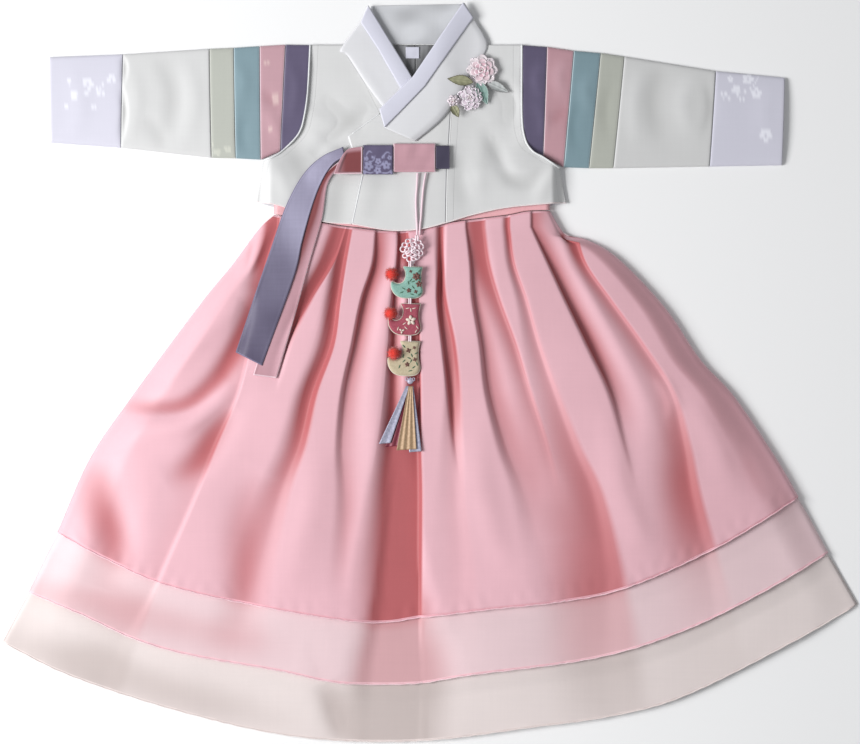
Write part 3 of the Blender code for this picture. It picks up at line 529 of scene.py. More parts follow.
class Finish(Enum):
    """Every finish of the garment."""

    SKIRT_OUTER = Cloth("pink_satin_organza", (0.80, 0.475, 0.535), (0.47, 0.12, 0.13),
                        (0.84, 0.46, 0.52), 2.2, roughness=0.5, sheen=0.3, slub=0.04, weave=0.2, blotch=0.08)
    SKIRT_MIDDLE = Cloth("pale_pink_organza", (0.80, 0.60, 0.63), (0.60, 0.30, 0.32), (0.86, 0.54, 0.59), 2.2,
                         roughness=0.5, slub=0.04, weave=0.2, blotch=0.07)
    SKIRT_UNDER = Cloth("ivory_organza", (0.78, 0.69, 0.675), (0.50, 0.42, 0.40), (0.78, 0.68, 0.66), 2.0,
                        roughness=0.55, slub=0.04, weave=0.2, blotch=0.06)
    WAISTBAND = Cloth("pink_band", (0.84, 0.46, 0.49), (0.6, 0.2, 0.2), roughness=0.5)
    IVORY = Cloth("ivory_silk", (0.69, 0.69, 0.69), (0.42, 0.42, 0.41), roughness=0.6, slub=0.035,
                  weave=0.15, sheen=0.15, blotch=0.06)
    IVORY_SEWN = replace(IVORY, name="ivory_silk_sewn", stitches=(1.6, 8.0))
    IVORY_EDGED = replace(IVORY, name="ivory_silk_edged", hem=(0.80, 0.80, 0.82), hem_width=1.1)
    GIT = replace(IVORY, name="ivory_collar_silk", colour=(0.73, 0.73, 0.755), roughness=0.55, slub=0.03)
    # Its near-black deep colour is the painted shade inside the back round the neck and in the back collar.
    INSIDE = Cloth("ivory_lining", (0.66, 0.67, 0.70), (0.15, 0.15, 0.155), roughness=0.6, slub=0.04,
                   sheen=0.1, blotch=0.08)
    WHITE = Cloth("white_satin", (0.67, 0.67, 0.77), (0.5, 0.5, 0.58), roughness=0.45, slub=0.03, weave=0.15)
    CUFF = replace(WHITE, name="white_figured_satin", colour=(0.68, 0.67, 0.765), motif=(0.84, 0.84, 0.92))
    SAGE = Cloth("sage_satin", (0.50, 0.515, 0.465), (0.3, 0.31, 0.26), (0.56, 0.57, 0.52), 0.9,
                 motif=(0.62, 0.63, 0.56), roughness=0.5, slub=0.05)
    TEAL = Cloth("teal_satin", (0.24, 0.345, 0.39), (0.12, 0.2, 0.23), (0.42, 0.52, 0.56), 0.9,
                 roughness=0.45, sheen=0.3, slub=0.05)
    ROSE = Cloth("rose_satin", (0.56, 0.34, 0.385), (0.36, 0.13, 0.15), (0.70, 0.54, 0.59), 0.9,
                 motif=(0.70, 0.50, 0.50), roughness=0.45, sheen=0.3, slub=0.05)
    PURPLE = Cloth("purple_satin", (0.13, 0.11, 0.185), (0.06, 0.05, 0.09), (0.24, 0.22, 0.30), 0.8,
                   roughness=0.42, sheen=0.35, slub=0.08)
    ROSE_TIE = Cloth("rose_tie", (0.565, 0.32, 0.37), (0.25, 0.07, 0.075), (0.78, 0.56, 0.62), 1.4,
                     roughness=0.42, sheen=0.35, slub=0.1)
    PURPLE_TIE = Cloth("purple_tie", (0.41, 0.39, 0.53), (0.09, 0.075, 0.13), (0.17, 0.15, 0.24), 1.3,
                       roughness=0.4, sheen=0.4, slub=0.16)
    PURPLE_WRAP = Cloth("purple_figured_wrap", (0.13, 0.11, 0.19), (0.06, 0.045, 0.09),
                        motif=(0.34, 0.33, 0.50), roughness=0.4, sheen=0.35, slub=0.1)
    DARK_END = Cloth("dark_purple_end", (0.065, 0.058, 0.095), (0.03, 0.02, 0.04), (0.16, 0.14, 0.20), 0.9,
                     roughness=0.4, sheen=0.2, slub=0.1)
    ROLL_PINK = Trim("pink_rolled_hem", (0.86, 0.50, 0.57), (0.92, 0.62, 0.68), 260.0, sheen=0.3)
    ROLL_PALE = Trim("pale_rolled_hem", (0.86, 0.56, 0.61), (0.90, 0.68, 0.72), 260.0, sheen=0.3)
    ROLL_IVORY = Trim("ivory_rolled_hem", (0.80, 0.70, 0.68), (0.84, 0.76, 0.74), 260.0, sheen=0.3)
    ROLL_JACKET = Trim("jacket_rolled_hem", (0.88, 0.76, 0.76), (0.90, 0.84, 0.84), 260.0, sheen=0.3)
    LEAF = Cloth("olive_organza", (0.30, 0.30, 0.19), (0.12, 0.12, 0.06), (0.13, 0.12, 0.07), 0.8,
                 roughness=0.5)
    LEAF_TEAL = Cloth("teal_organza", (0.19, 0.30, 0.27), (0.10, 0.18, 0.16), (0.45, 0.55, 0.52), 0.7,
                      roughness=0.5)
    LEAF_GREY = Cloth("grey_organza", (0.48, 0.50, 0.50), (0.3, 0.3, 0.3), (0.25, 0.24, 0.24), 0.7,
                      roughness=0.5)
    PETAL = Cloth("petal_organza", (0.76, 0.52, 0.59), (0.60, 0.30, 0.38), (0.88, 0.78, 0.82), 1.1,
                  (0.80, 0.76, 0.78), roughness=0.45, slub_scale=900.0, slub=0.15)
    PETAL_PALE = Cloth("pale_petal_organza", (0.76, 0.66, 0.74), (0.54, 0.40, 0.50), (0.84, 0.80, 0.84), 1.1,
                       roughness=0.45, slub_scale=900.0, slub=0.15)
    CORD_PINK = Trim("pink_cord", (0.80, 0.58, 0.66), (0.86, 0.70, 0.76), 1500.0, roughness=0.55, sheen=0.3)
    CORD_WHITE = Trim("white_cord", (0.84, 0.66, 0.73), (0.90, 0.80, 0.84), 1500.0, roughness=0.5)
    PIPING = Trim("white_piping", (0.74, 0.75, 0.76), (0.82, 0.83, 0.84), 1500.0, roughness=0.5)
    MINT = Trim("mint_felt", (0.21, 0.40, 0.34), (0.28, 0.49, 0.42), 700.0, roughness=0.7, sheen=0.4)
    WINE = Trim("wine_felt", (0.32, 0.05, 0.08), (0.40, 0.08, 0.12), 700.0, roughness=0.7, sheen=0.4)
    CREAM = Trim("cream_felt", (0.50, 0.42, 0.28), (0.58, 0.50, 0.35), 700.0, roughness=0.7, sheen=0.4)
    EDGING = Trim("cream_edging", (0.66, 0.60, 0.50), (0.74, 0.70, 0.60), 1200.0, roughness=0.6)
    RED_YARN = Trim("red_yarn", (0.58, 0.018, 0.010), (0.80, 0.05, 0.03), 1100.0, roughness=0.8, sheen=0.5)
    GOLD_RIBBON = Trim("gold_ribbon", (0.40, 0.26, 0.15), (0.50, 0.34, 0.21), 500.0, roughness=0.5,
                       metallic=0.1)
    SILVER_RIBBON = Trim("silver_ribbon", (0.33, 0.33, 0.44), (0.48, 0.48, 0.60), 500.0, roughness=0.36,
                         metallic=0.2)
    WINE_RIBBON = Trim("wine_ribbon", (0.20, 0.03, 0.05), (0.27, 0.05, 0.08), 500.0, roughness=0.4)
    LILAC_RIBBON = Trim("lilac_ribbon", (0.42, 0.40, 0.50), (0.50, 0.48, 0.60), 500.0, roughness=0.4,
                        metallic=0.1)
    PEARL = Trim("pearl", (0.80, 0.74, 0.74), (0.86, 0.80, 0.80), 600.0, roughness=0.2, coat=0.5)
    SEQUIN = Trim("clear_sequin", (0.74, 0.66, 0.72), (0.84, 0.78, 0.84), 600.0, roughness=0.18, metallic=0.3)
    THREAD_GREEN = Trim("green_thread", (0.05, 0.13, 0.08), (0.08, 0.18, 0.11), 900.0, roughness=0.6)
    THREAD_DARK = Trim("brown_thread", (0.13, 0.06, 0.05), (0.22, 0.10, 0.08), 900.0, roughness=0.6)
    THREAD_CREAM = Trim("cream_thread", (0.72, 0.60, 0.52), (0.80, 0.70, 0.62), 900.0, roughness=0.5)


# ---------------------------------------------------------------- workroom


def cells(rows: int, columns: int, closed: bool = False) -> Array:
    """The four corner numbers of each cell of a grid of points.

    Args:
        rows: Rows of the grid.
        columns: Points in a row.
        closed: Whether the last column joins the first.

    Returns:
        One cell to a row.
    """
    number = np.arange(rows * columns).reshape(rows, columns)
    if closed:
        number = np.hstack([number, number[:, :1]])
    corners = (number[:-1, :-1], number[:-1, 1:], number[1:, 1:], number[1:, :-1])
    return np.stack([part.ravel() for part in corners], axis=1)


class Sewn(Enum):
    """Which edges of a sheet carry its hem and its stitches."""

    ALL = "all"
    SIDES = "sides"


class Workroom:
    """Makes the pieces, dresses them, and says which body each rides on and which solid it stands for."""

    def __init__(self) -> None:
        """Opens a collection for the pieces."""
        self.collection = bpy.data.collections.new("hanbok_pieces")
        bpy.context.scene.collection.children.link(self.collection)

    def mesh(self, name: str, points: Array, faces: Array | list, finish: Finish,
             fields: dict[str, Array] | None = None) -> bpy.types.Object:
        """Makes a smooth mesh from points in millimetres.

        Args:
            name: The piece's name.
            points: Its points.
            faces: The corner numbers of each face.
            finish: Its finish.
            fields: Values that its points carry, by name.

        Returns:
            The new object.
        """
        mesh = bpy.data.meshes.new(name)
        faces = faces.tolist() if isinstance(faces, np.ndarray) else faces
        mesh.from_pydata((np.asarray(points, float) * MM).tolist(), [], faces)
        for label, values in (fields or {}).items():
            layer = mesh.attributes.new(label, "FLOAT", "POINT")
            layer.data.foreach_set("value", np.asarray(values, np.float32).ravel())
        mesh.shade_smooth()
        mesh.materials.append(finish.value.build())
        made = bpy.data.objects.new(name, mesh)
        self.collection.objects.link(made)
        return made

    def declare(self, piece: bpy.types.Object, *nodes: str) -> None:
        """The piece rides on the garment and stands for the nodes."""
        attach(piece, BODY)
        if nodes:
            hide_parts(*nodes)
        LOG.info("%s: %d faces", piece.name, len(piece.data.polygons) if piece.type == "MESH" else 0)

    def trim(self, name: str, shape: Mesh, finish: Finish, *nodes: str) -> bpy.types.Object:
        """Args:
            name: The piece's name.
            shape: Its points and faces.
            finish: Its finish.
            nodes: The solids that it stands for, if any.

        Returns:
            The new object.
        """
        piece = self.mesh(name, *shape, finish)
        self.declare(piece, *nodes)
        return piece

    def laid(self, node: str, grid: Array, finish: Finish, rests_on: tuple[str, ...], held: str = "laid",
             closed: bool = False, thickness: float = CLOTH, fields: dict[str, Array] | None = None,
             edges: Sewn = Sewn.ALL) -> bpy.types.Object:
        """A sheet of cloth on a grid of points: a smooth surface with a thin wall under it.

        Args:
            node: The solid that it stands for.
            grid: Rows by columns by xyz, in millimetres.
            finish: Its finish.
            rests_on: What it lies on; not used.
            held: How it is held, or empty for one too narrow to count as a sheet.
            closed: Whether the last column joins the first, as round a sleeve.
            thickness: The cloth's thickness.
            fields: Values at its points, besides the ones worked out here.
            edges: Which edges count as sewn. A closed sheet has only its two ends.

        Returns:
            The new object.
        """
        rows, columns = grid.shape[:2]
        along = np.linalg.norm(np.diff(grid, axis=0), axis=2)
        across = np.linalg.norm(np.diff(grid, axis=1), axis=2)
        along = np.vstack([np.zeros((1, columns)), np.cumsum(along, axis=0)])
        across = np.hstack([np.zeros((rows, 1)), np.cumsum(across, axis=1)])
        from_rows = np.minimum(along, along[-1:] - along)
        from_columns = np.minimum(across, across[:, -1:] - across)
        if closed:
            edge, run = from_rows, across
        elif edges is Sewn.SIDES:
            edge, run = from_columns, along
        else:
            edge = np.minimum(from_rows, from_columns)
            run = np.where(from_rows < from_columns, across, along)
        plain = np.zeros((rows, columns))
        carried = {"edge": edge, "run": run, "painted_shade_and_tone": plain, "motif": plain} | (fields or {})
        faces = cells(rows, columns, closed)
        corners = grid.reshape(-1, 3)[faces]
        normal = np.cross(corners[:, 2] - corners[:, 0], corners[:, 3] - corners[:, 1])[:, 2]
        height = corners[:, :, 2].mean(axis=1)
        outward = (normal * (height - height.mean())).sum() if closed else normal.sum()
        if outward < 0:
            faces = faces[:, ::-1]
        piece = self.mesh(f"{node}_cloth", grid.reshape(-1, 3), faces, finish, carried)
        wall = piece.modifiers.new("wall", "SOLIDIFY")
        wall.thickness = thickness * MM
        wall.offset = -1.0
        wall.use_even_offset = False
        self.declare(piece, node)
        if not held:
            return piece
        width = float(across[:, -1].max())
        if closed:
            width += float(np.linalg.norm(grid[:, -1] - grid[:, 0], axis=1).max())
        return piece


def capped(rings: int, around: int) -> list:
    """Faces of a tube of rings, with one face over each end."""
    faces = cells(rings, around, True).tolist()
    faces.append(list(range(around))[::-1])
    faces.append(list(range((rings - 1) * around, rings * around)))
    return faces


def thread_mesh(path: Array, radius: float | Array, around: int = 8) -> Mesh:
    """A round thread along a path.

    Args:
        path: Places along its middle, in millimetres.
        radius: Its radius, the same all along or one for each place.
        around: Points round its section.

    Returns:
        Its points and its faces. Each ring stands square to the path, on axes made from the path's
        direction and the upward one.
    """
    path = np.asarray(path, float)
    forward = np.gradient(path, axis=0)
    forward /= np.maximum(np.linalg.norm(forward, axis=1, keepdims=True), 1e-9)
    upward = np.where(np.abs(forward[:, 2:]) > 0.95, [[1.0, 0, 0]], [[0, 0, 1.0]])
    side = np.cross(forward, upward)
    side /= np.maximum(np.linalg.norm(side, axis=1, keepdims=True), 1e-9)
    upward = np.cross(side, forward)
    angle = np.arange(around) * math.tau / around
    reach = np.broadcast_to(np.asarray(radius, float), (len(path),))[:, None, None]
    ring = side[:, None] * np.cos(angle)[None, :, None] + upward[:, None] * np.sin(angle)[None, :, None]
    return (path[:, None] + reach * ring).reshape(-1, 3), capped(len(path), around)


def joined(parts: list[Mesh]) -> Mesh:
    """Several meshes' points and faces put together as one."""
    points, faces, count = [], [], 0
    for part_points, part_faces in parts:
        points.append(np.asarray(part_points, float).reshape(-1, 3))
        faces.extend([[int(corner) + count for corner in face] for face in part_faces])
        count += len(points[-1])
    return np.vstack(points), faces


def turned_mesh(profile: Array, centre: Place, around: int) -> Mesh:
    """A profile of (radius, height) carried round an upright axis.

    Args:
        profile: Radius and height, from the bottom up.
        centre: The foot of the axis.
        around: Points round it.

    Returns:
        Its points and its faces.
    """
    angle = np.arange(around) * math.tau / around
    radius = profile[:, :1] * np.ones(around)
    points = np.stack([centre[0] + radius * np.cos(angle), centre[1] + radius * np.sin(angle),
                       centre[2] + profile[:, 1:] * np.ones(around)], axis=2)
    return points.reshape(-1, 3), capped(len(profile), around)


def bead_mesh(centre: Place, radius: float, around: int = 10, rings: int = 6, flat: float = 1.0) -> Mesh:
    """A round bead, flattened by a share."""
    slope = np.linspace(-0.48 * math.pi, 0.48 * math.pi, rings)
    profile = np.column_stack([radius * np.cos(slope), radius * flat * np.sin(slope)])
    return turned_mesh(profile, centre, around)


def loft_mesh(rings: Array) -> Mesh:
    """A closed shape through rings of points (rings by points by xyz), capped at both ends."""
    return rings.reshape(-1, 3), capped(*rings.shape[:2])


def petal_loop(centre: Place, turn: float, radius: float) -> Mesh:
    """A stitched petal: a short fat thread from the centre outwards, thick in the middle."""
    run = np.linspace(0.12, 1, 7)
    out = radius * run
    path = np.column_stack([centre[0] + out * math.cos(turn), centre[1] + out * math.sin(turn),
                            np.full(7, centre[2] + 0.1)])
    return thread_mesh(path, 0.12 * radius + 0.3 * radius * np.sin(math.pi * run) ** 0.7 * 0.75, 7)


def fix_outward(piece: bpy.types.Object) -> None:
    """Turns a closed mesh's faces outwards, where its signed volume is negative."""
    mesh = piece.data
    mesh.calc_loop_triangles()
    points = np.empty(len(mesh.vertices) * 3)
    mesh.vertices.foreach_get("co", points)
    corners = np.empty(len(mesh.loop_triangles) * 3, int)
    mesh.loop_triangles.foreach_get("vertices", corners)
    triangles = points.reshape(-1, 3)[corners].reshape(-1, 3, 3)
    volume = np.einsum("ij,ij->i", triangles[:, 0], np.cross(triangles[:, 1], triangles[:, 2])).sum()
    if volume < 0:
        mesh.flip_normals()


# ---------------------------------------------------------------- skirt

LEVEL_Y = (140, 105, 70, 26, -20, -71, -124, -225, -340)


@dataclass(frozen=True)
class Pleat:
    """One pleat.

    facing is the side that its free edge looks to, x and drops are that edge's place and fall at each
    level, and widths and reaches say how wide the fall is and how far the cloth takes to rise again, at
    the waist and at the hem.
    """

    facing: int
    x: tuple[float, ...]
    drops: tuple[float, ...]
    widths: tuple[float, float]
    reaches: tuple[float, float]

    def edge(self, y: Array) -> Array:
        """x of the free edge at y."""
        return line_x(list(zip(self.x, LEVEL_Y)), y)

    def width(self, down: Array) -> Array:
        """Width of the fall at a share of the way down."""
        return self.widths[0] + (self.widths[1] - self.widths[0]) * down**2

    def reach(self, down: Array) -> Array:
        """How far the cloth takes to rise again at a share of the way down."""
        return self.reaches[0] + (self.reaches[1] - self.reaches[0]) * down**2


PLEATS = {
    "left_side": Pleat(-1, (-146, -157, -163, -172, -183, -205, -226, -270, -316),
                       (3, 3.5, 3, 2.2, 2, 2, 1.6, 1.4, 1), (2, 4), (20, 60)),
    "left_first": Pleat(-1, (-81, -93, -114, -135, -146, -153, -163, -184, -209),
                        (3, 6, 6, 3, 0, 0, 0, 0, 0), (2, 6), (20, 20)),
    "left_valley": Pleat(-1, (-75, -81, -86, -92, -108, -119, -136, -155, -175),
                         (2, 5, 6.5, 6.5, 6, 4.5, 2.5, 1, 0), (3, 18), (13, 34)),
    "left_inner": Pleat(1, (-53, -56, -67, -76, -86, -91, -91, -99, -111),
                        (2, 5, 6.5, 6, 5, 3.5, 2, 1, 0), (2, 18), (24, 50)),
    "middle_west": Pleat(1, (-31, -33, -38, -41, -45, -52, -62, -76, -78),
                         (4, 5, 6, 7, 7.5, 8, 8.5, 8, 4), (2, 48), (10, 40)),
    "middle_east": Pleat(-1, (-23, -16, -11, -10, -9, -9, -8, -9, -9),
                         (4, 5, 7, 8, 8.5, 9, 9, 8, 6), (2, 3), (10, 50)),
    "right_first_west": Pleat(1, (9, 8, 6, 11, 16, 21, 27, 31, 35),
                              (3, 5, 6, 6, 4, 1, 0, 0, 0), (1.5, 6), (6, 14)),
    "right_first_east": Pleat(-1, (12, 13, 16, 25, 30, 32, 35, 47, 50),
                              (2, 4, 5, 5, 4, 2, 1.5, 1, 0), (2.5, 18), (5, 36)),
    "right_second": Pleat(1, (34, 38, 40, 47, 52, 64, 80, 97, 107),
                          (2, 4, 5, 5, 5, 4, 2.5, 1, 0), (2, 24), (24, 60)),
    "right_third": Pleat(-1, (53, 58, 68, 84, 98, 114, 126, 138, 146),
                         (1.5, 2.5, 3.5, 3.5, 2.5, 1.2, 0, 0, 0), (2.5, 6), (16, 34)),
    "right_fourth": Pleat(-1, (77, 82, 94, 107, 124, 145, 169, 192, 210),
                          (2, 2.5, 2.5, 2.5, 2.5, 3.2, 4, 3.6, 1.2), (2, 20), (6, 80)),
    "right_fifth": Pleat(1, (97, 113, 129, 150, 171, 185, 198, 223, 242),
                         (2, 4.5, 6, 7, 5, 1.5, 0, 0, 0), (2, 10), (26, 56)),
    "right_sixth": Pleat(-1, (140, 151, 175, 207, 236, 251, 262, 291, 320),
                         (4, 3, 3, 3, 3, 4, 4.5, 2, 0.5), (3, 16), (14, 80)),
}

# Height of the cloth between the pleats at each level, over the dome.
CREST = (3.0, 6.0, 8.0, 8.7, 9.0, 9.0, 9.0, 8.0, 5.0)
# Painted shade: a pleat that faces -X is painted this much darker from just before its edge, and a crease's
# trough is painted darker and its ridge lighter by these shares of its height.
SHADED_SIDE = 1.6
TROUGH_SHADE, RIDGE_SHADE = -0.17, -0.05

# Soft folds besides the pleats: each path, how wide it is on its left and right, and its height.
SKIRT_CREASES = (
    Crease([(-170, 80), (-178, 46), (-192, 15), (-211, -14), (-238, -33), (-276, -35), (-305, -29)],
           10, 11, -4.8),
    Crease([(-179, 70), (-209, 46), (-233, 19), (-262, -8)], 12, 14, 3.0),
    Crease([(-186, -10), (-213, -39), (-242, -53), (-291, -58)], 10, 14, 3.0),
    Crease([(-188, -32), (-204, -58), (-223, -85), (-257, -105)], 14, 16, -3.0),
    Crease([(-322, -81), (-316, -124), (-305, -168), (-320, -211)], 20, 26, -4.2),
    Crease([(-291, -71), (-272, -105), (-272, -153), (-281, -192)], 14, 16, 0.8),
    Crease([(-173, 133), (-174, 118), (-177, 99)], 4, 4, -1.8),
    Crease([(-159, 140), (-165, 118), (-177, 91)], 4, 5, 2.0),
    Crease([(-155, -95), (-173, -124), (-181, -168), (-183, -221), (-188, -250)], 20, 22, -3.0),
    Crease([(-109, -66), (-111, -105), (-121, -153), (-136, -211)], 16, 16, 2.0),
    Crease([(-85, -76), (-80, -124), (-87, -173), (-97, -221)], 12, 14, -1.4),
    Crease([(48, -47), (48, -95), (58, -144), (76, -192)], 14, 14, 1.8),
    Crease([(87, -8), (102, -56), (114, -105), (126, -163)], 20, 26, -1.2),
    Crease([(165, -37), (177, -76), (184, -114), (209, -173)], 12, 16, 2.2),
    Crease([(218, -3), (231, -27), (231, -47)], 8, 5, 1.8),
    Crease([(252, -27), (274, -66), (286, -105)], 12, 14, 1.8),
    Crease([(296, -66), (315, -105), (330, -124)], 12, 14, -1.6),
    Crease([(-105, -299), (-91, -330), (-83, -362)], 18, 12, -5.0),
    Crease([(-495, -221), (-407, -260), (-330, -283), (-223, -318), (-107, -345)], 24, 26, -4.0),
    Crease([(-475, -178), (-388, -210), (-320, -223), (-223, -248), (-116, -270)], 20, 24, -3.2),
)


def at_levels(values: tuple[float, ...], y: Array) -> Array:
    """A smooth line through one value for each level, at y, never under 0."""
    dense = through(list(zip(LEVEL_Y, values)))
    return np.maximum(np.interp(-np.asarray(y, float), -dense[:, 0], dense[:, 1]), 0)


def skirt_relief(x: Array, y: Array) -> tuple[Array, Array, Array]:
    """Shape of the skirt's front.

    Args:
        x: Places across.
        y: Places along.

    Returns:
        A low dome over the whole skirt, the height of its folds over that, and how deep in a pleat
        each place lies, from 0 to 1. A pleat drops from its free edge over its width and rises again
        over its reach; one that faces -X lies deeper in shade.
    """
    left, right = line_x(LEFT_SIDE, y), line_x(RIGHT_SIDE, y)
    across = np.clip((2 * x - left - right) / (right - left), -1, 1)
    down = np.clip((line_y(WAIST_LINE, x) - y) / SKIRT_LENGTH, 0, 1.6)
    dome = SKIRT_DOME * np.sin(math.pi / 2 * np.clip(down / 0.45, 0, 1)) * (1 - np.abs(across) ** 3)
    dome = dome * (1 - 0.3 * smoothstep(down, 0.6, 1.3))
    past = 16 * smoothstep(down, 0.96, 1.25)
    down = np.clip(down, 0, 1)
    crest = at_levels(CREST, y) * np.ones_like(x)
    drop, dark = np.zeros_like(crest), np.zeros_like(crest)
    for pleat in PLEATS.values():
        beyond = pleat.facing * (x - pleat.edge(y))
        width, reach = pleat.width(down) + past, pleat.reach(down) + past
        fall = smoothstep(beyond / width, -0.15, 1.0)
        depth = at_levels(pleat.drops, y) * (1 - smoothstep((beyond - width) / reach, 0, 1))
        drop = drop + depth * fall
        # A pleat facing -X is painted darker from half a width before its edge, as shade.
        if pleat.facing < 0:
            fall = SHADED_SIDE * smoothstep(beyond / width, -0.5, 0.3)
        dark = dark + depth * fall
    rim = smoothstep(1 - np.abs(across), 0, 0.12)
    soft = creased(SKIRT_CREASES, x, y)
    folds = np.maximum(crest - drop + soft, 0.2) * rim
    # Painted shade: the pleats' depth, darker in the creases' troughs and lighter on their ridges.
    deep = dark / np.maximum(crest, 1) + np.where(soft < 0, TROUGH_SHADE, RIDGE_SHADE) * soft
    return dome, folds, np.clip(deep, 0, 1)


def skirt_top(x: Array, y: Array) -> Array:
    """Height of the skirt's upper face."""
    dome, folds, _ = skirt_relief(x, y)
    return SKIRT_STACK + dome + folds


@dataclass
class Skirt:
    """The pleated skirt: three nested layers and the band above them.

    Its rows run from 0 at the waist to 1, 2 and 3 at the hems. settle is how far past a hem the layers
    under it take to come down, hidden the rows between which a covered layer meets the outer one, and
    least_gap the smallest distance between two lengthwise lines.
    """

    room: Workroom
    spacing: float = 2.3
    least_gap: float = 0.8
    hem_pucker: float = 0.3
    edge_reach: float = 5.0
    settle: float = 0.35
    hidden: tuple[float, float] = (0.5, 0.85)

    def columns(self, y: Array) -> Array:
        """x of the lengthwise lines of the front at heights y.

        They run from side to side through every pleat's edge and foot, and between these at even
        shares, as many as keep the spacing at the middle of the skirt.
        """
        down = np.clip((LEVEL_Y[0] - y) / SKIRT_LENGTH, 0, 1)
        gap = self.least_gap
        anchors = [line_x(LEFT_SIDE, y)]
        for pleat in PLEATS.values():
            edge = pleat.edge(y)
            foot = edge + pleat.facing * pleat.width(down)
            anchors += [foot, edge] if pleat.facing < 0 else [edge, foot]
        for position in range(1, len(anchors)):
            anchors[position] = np.maximum(anchors[position], anchors[position - 1] + gap)
        right, count = line_x(RIGHT_SIDE, y), len(anchors)
        anchors = [np.minimum(anchor, right - gap * (count - i)) for i, anchor in enumerate(anchors)]
        anchors.append(right)
        lines = []
        for first, second in zip(anchors[:-1], anchors[1:]):
            count = max(2, int(np.ceil(np.mean(second - first) / self.spacing)))
            share = np.arange(count)[:, None] / count
            lines.append(first + (second - first) * share)
        return np.vstack(lines + [anchors[-1][None]])

    def plan(self, rows: Array) -> Array:
        """Plan points of the lengthwise lines at the rows.

        Args:
            rows: The rows, from the waist down.

        Returns:
            Rows by lines by xy. Each line is cut where it first passes the waist line and each hem, and
            the rows between two cuts stand at even shares.
        """
        y = np.linspace(162, -366, 529)
        columns = self.columns(y)
        number = np.arange(len(columns))
        marks = []
        for line in SKIRT_LINES:
            short = line_y(line, columns) - y[None]
            first = np.clip(np.argmax(short >= 0, axis=1), 1, len(y) - 1)
            before, after = short[number, first - 1], short[number, first]
            marks.append(y[first - 1] + (y[first] - y[first - 1]) * before / (before - after))
        marks = np.array(marks)
        whole = np.clip(np.floor(rows).astype(int), 0, 2)
        part = (rows - whole)[:, None]
        place = marks[whole] * (1 - part) + marks[whole + 1] * part
        position = np.clip((y[0] - place) / (y[0] - y[1]), 0, len(y) - 1.001)
        index = position.astype(int)
        part = position - index
        x = columns[number[None], index] * (1 - part) + columns[number[None], index + 1] * part
        return np.dstack([x, place])

    def past_hems(self, row: Array) -> tuple[Array, Array]:
        """How far the layers have come down past the outer and the middle hem, from 0 to 1."""
        return smoothstep(row, 1, 1 + self.settle), smoothstep(row, 2, 2 + self.settle)

    def wall(self, number: int, row: Array, dome: Array, folds: Array) -> Array:
        """Underside of a wall.

        Args:
            number: 0 to 2 for the back layers and 3 to 5 for the front ones.
            row: The row of each place.
            dome: Height of the dome there.
            folds: Height of the folds there.

        Returns:
            Its height. The space inside the dome is shared out evenly among the walls.
        """
        past_outer, past_middle = self.past_hems(row)
        base = LAYER_STEP * (number - past_outer - past_middle)
        share = number / 5 * (1 - past_outer) + 0.8 * (number - 1) / 3 * past_outer
        share = share * (1 - past_middle) + 0.4 * (number - 2) * past_middle
        if number < 3:
            return base + share * dome
        follow = 1.0 if number == 5 else smoothstep(row, *self.hidden)
        return base + share * (dome + follow * folds)

    def layer(self, node: str, depth: int, rows: Array, finish: Finish, roll: Finish,
              rests_on: tuple[str, ...]) -> None:
        """One layer, a flattened tube with rounded sides, and its rolled hem.

        Args:
            node: The solid that it stands for.
            depth: 0 for the outer layer, 1 for the middle one and 2 for the under one.
            rows: Its rows.
            finish: Its cloth.
            roll: The finish of its hem.
            rests_on: What it lies on.
        """
        plan = self.plan(rows)
        past_outer, past_middle = self.past_hems(rows)
        inset = LAYER_STEP * np.maximum(depth - past_outer - past_middle, 0)
        if depth:
            inset = inset + HIDDEN_INSET * (1 - smoothstep(rows, *self.hidden))
        inset = inset[:, None]
        dome, folds, deep = skirt_relief(plan[..., 0], plan[..., 1])
        row = rows[:, None] * np.ones(plan.shape[1])
        top = self.wall(5 - depth, row, dome, folds) + SKIRT_WALL
        bottom = self.wall(depth, row, dome, folds)
        order = 0.05 * np.arange(plan.shape[1])
        low, high = plan[:, :1, 0] + inset + order, plan[:, -1:, 0] - inset - order[::-1]
        x = np.clip(plan[..., 0], low, high)
        hem = (rows[-1] - row) * 250
        top = top + self.hem_pucker * ripple(x, plan[..., 1], 16, depth + 3) * np.exp(-(hem / 9) ** 2)
        side = np.minimum(x - x[:, :1], x[:, -1:] - x)
        round_share = half_round(side, self.edge_reach)
        middle = (top + bottom) / 2
        front = np.dstack([x, plan[..., 1], middle + (top - middle) * round_share])
        back = np.dstack([x, plan[..., 1], middle - (middle - bottom) * round_share])
        count = plan.shape[1]
        chosen = np.concatenate([np.arange(1, 6), np.arange(6, count - 6, 7),
                                 np.arange(count - 6, count - 1)])
        chosen = np.unique(chosen)
        grid = np.hstack([back[:, chosen], front[:, ::-1]])
        # Painted shade: slopes that fall towards +X, away from the key light on the left, are painted darker
        # on top of the pleats' painted shade, less so past the outer hem.
        slope = np.gradient(folds + dome, axis=1) / np.maximum(np.gradient(plan[..., 0], axis=1), 0.4)
        beyond = smoothstep(row, 1.0, 1.2)
        away = smoothstep(-slope, 0.04, 0.6) * (1 - 0.5 * beyond)
        deep = np.clip(smoothstep(deep, 0.06, 0.95) * (1 - 0.25 * beyond) + 0.25 * away, 0, 1)
        shade = np.hstack([np.zeros((len(rows), len(chosen))), deep[:, ::-1]])
        self.room.laid(node, grid, finish, rests_on, held="gathered", closed=True, fields={"painted_shade_and_tone": shade})
        path = front[-1, ::2] + np.array([0, 0, 0.1])
        path[:, 1] += 0.25 * np.sin(np.arange(len(path)) * 1.9)
        self.room.trim(f"{node}_rolled_hem", thread_mesh(path, 0.65, 6), roll)

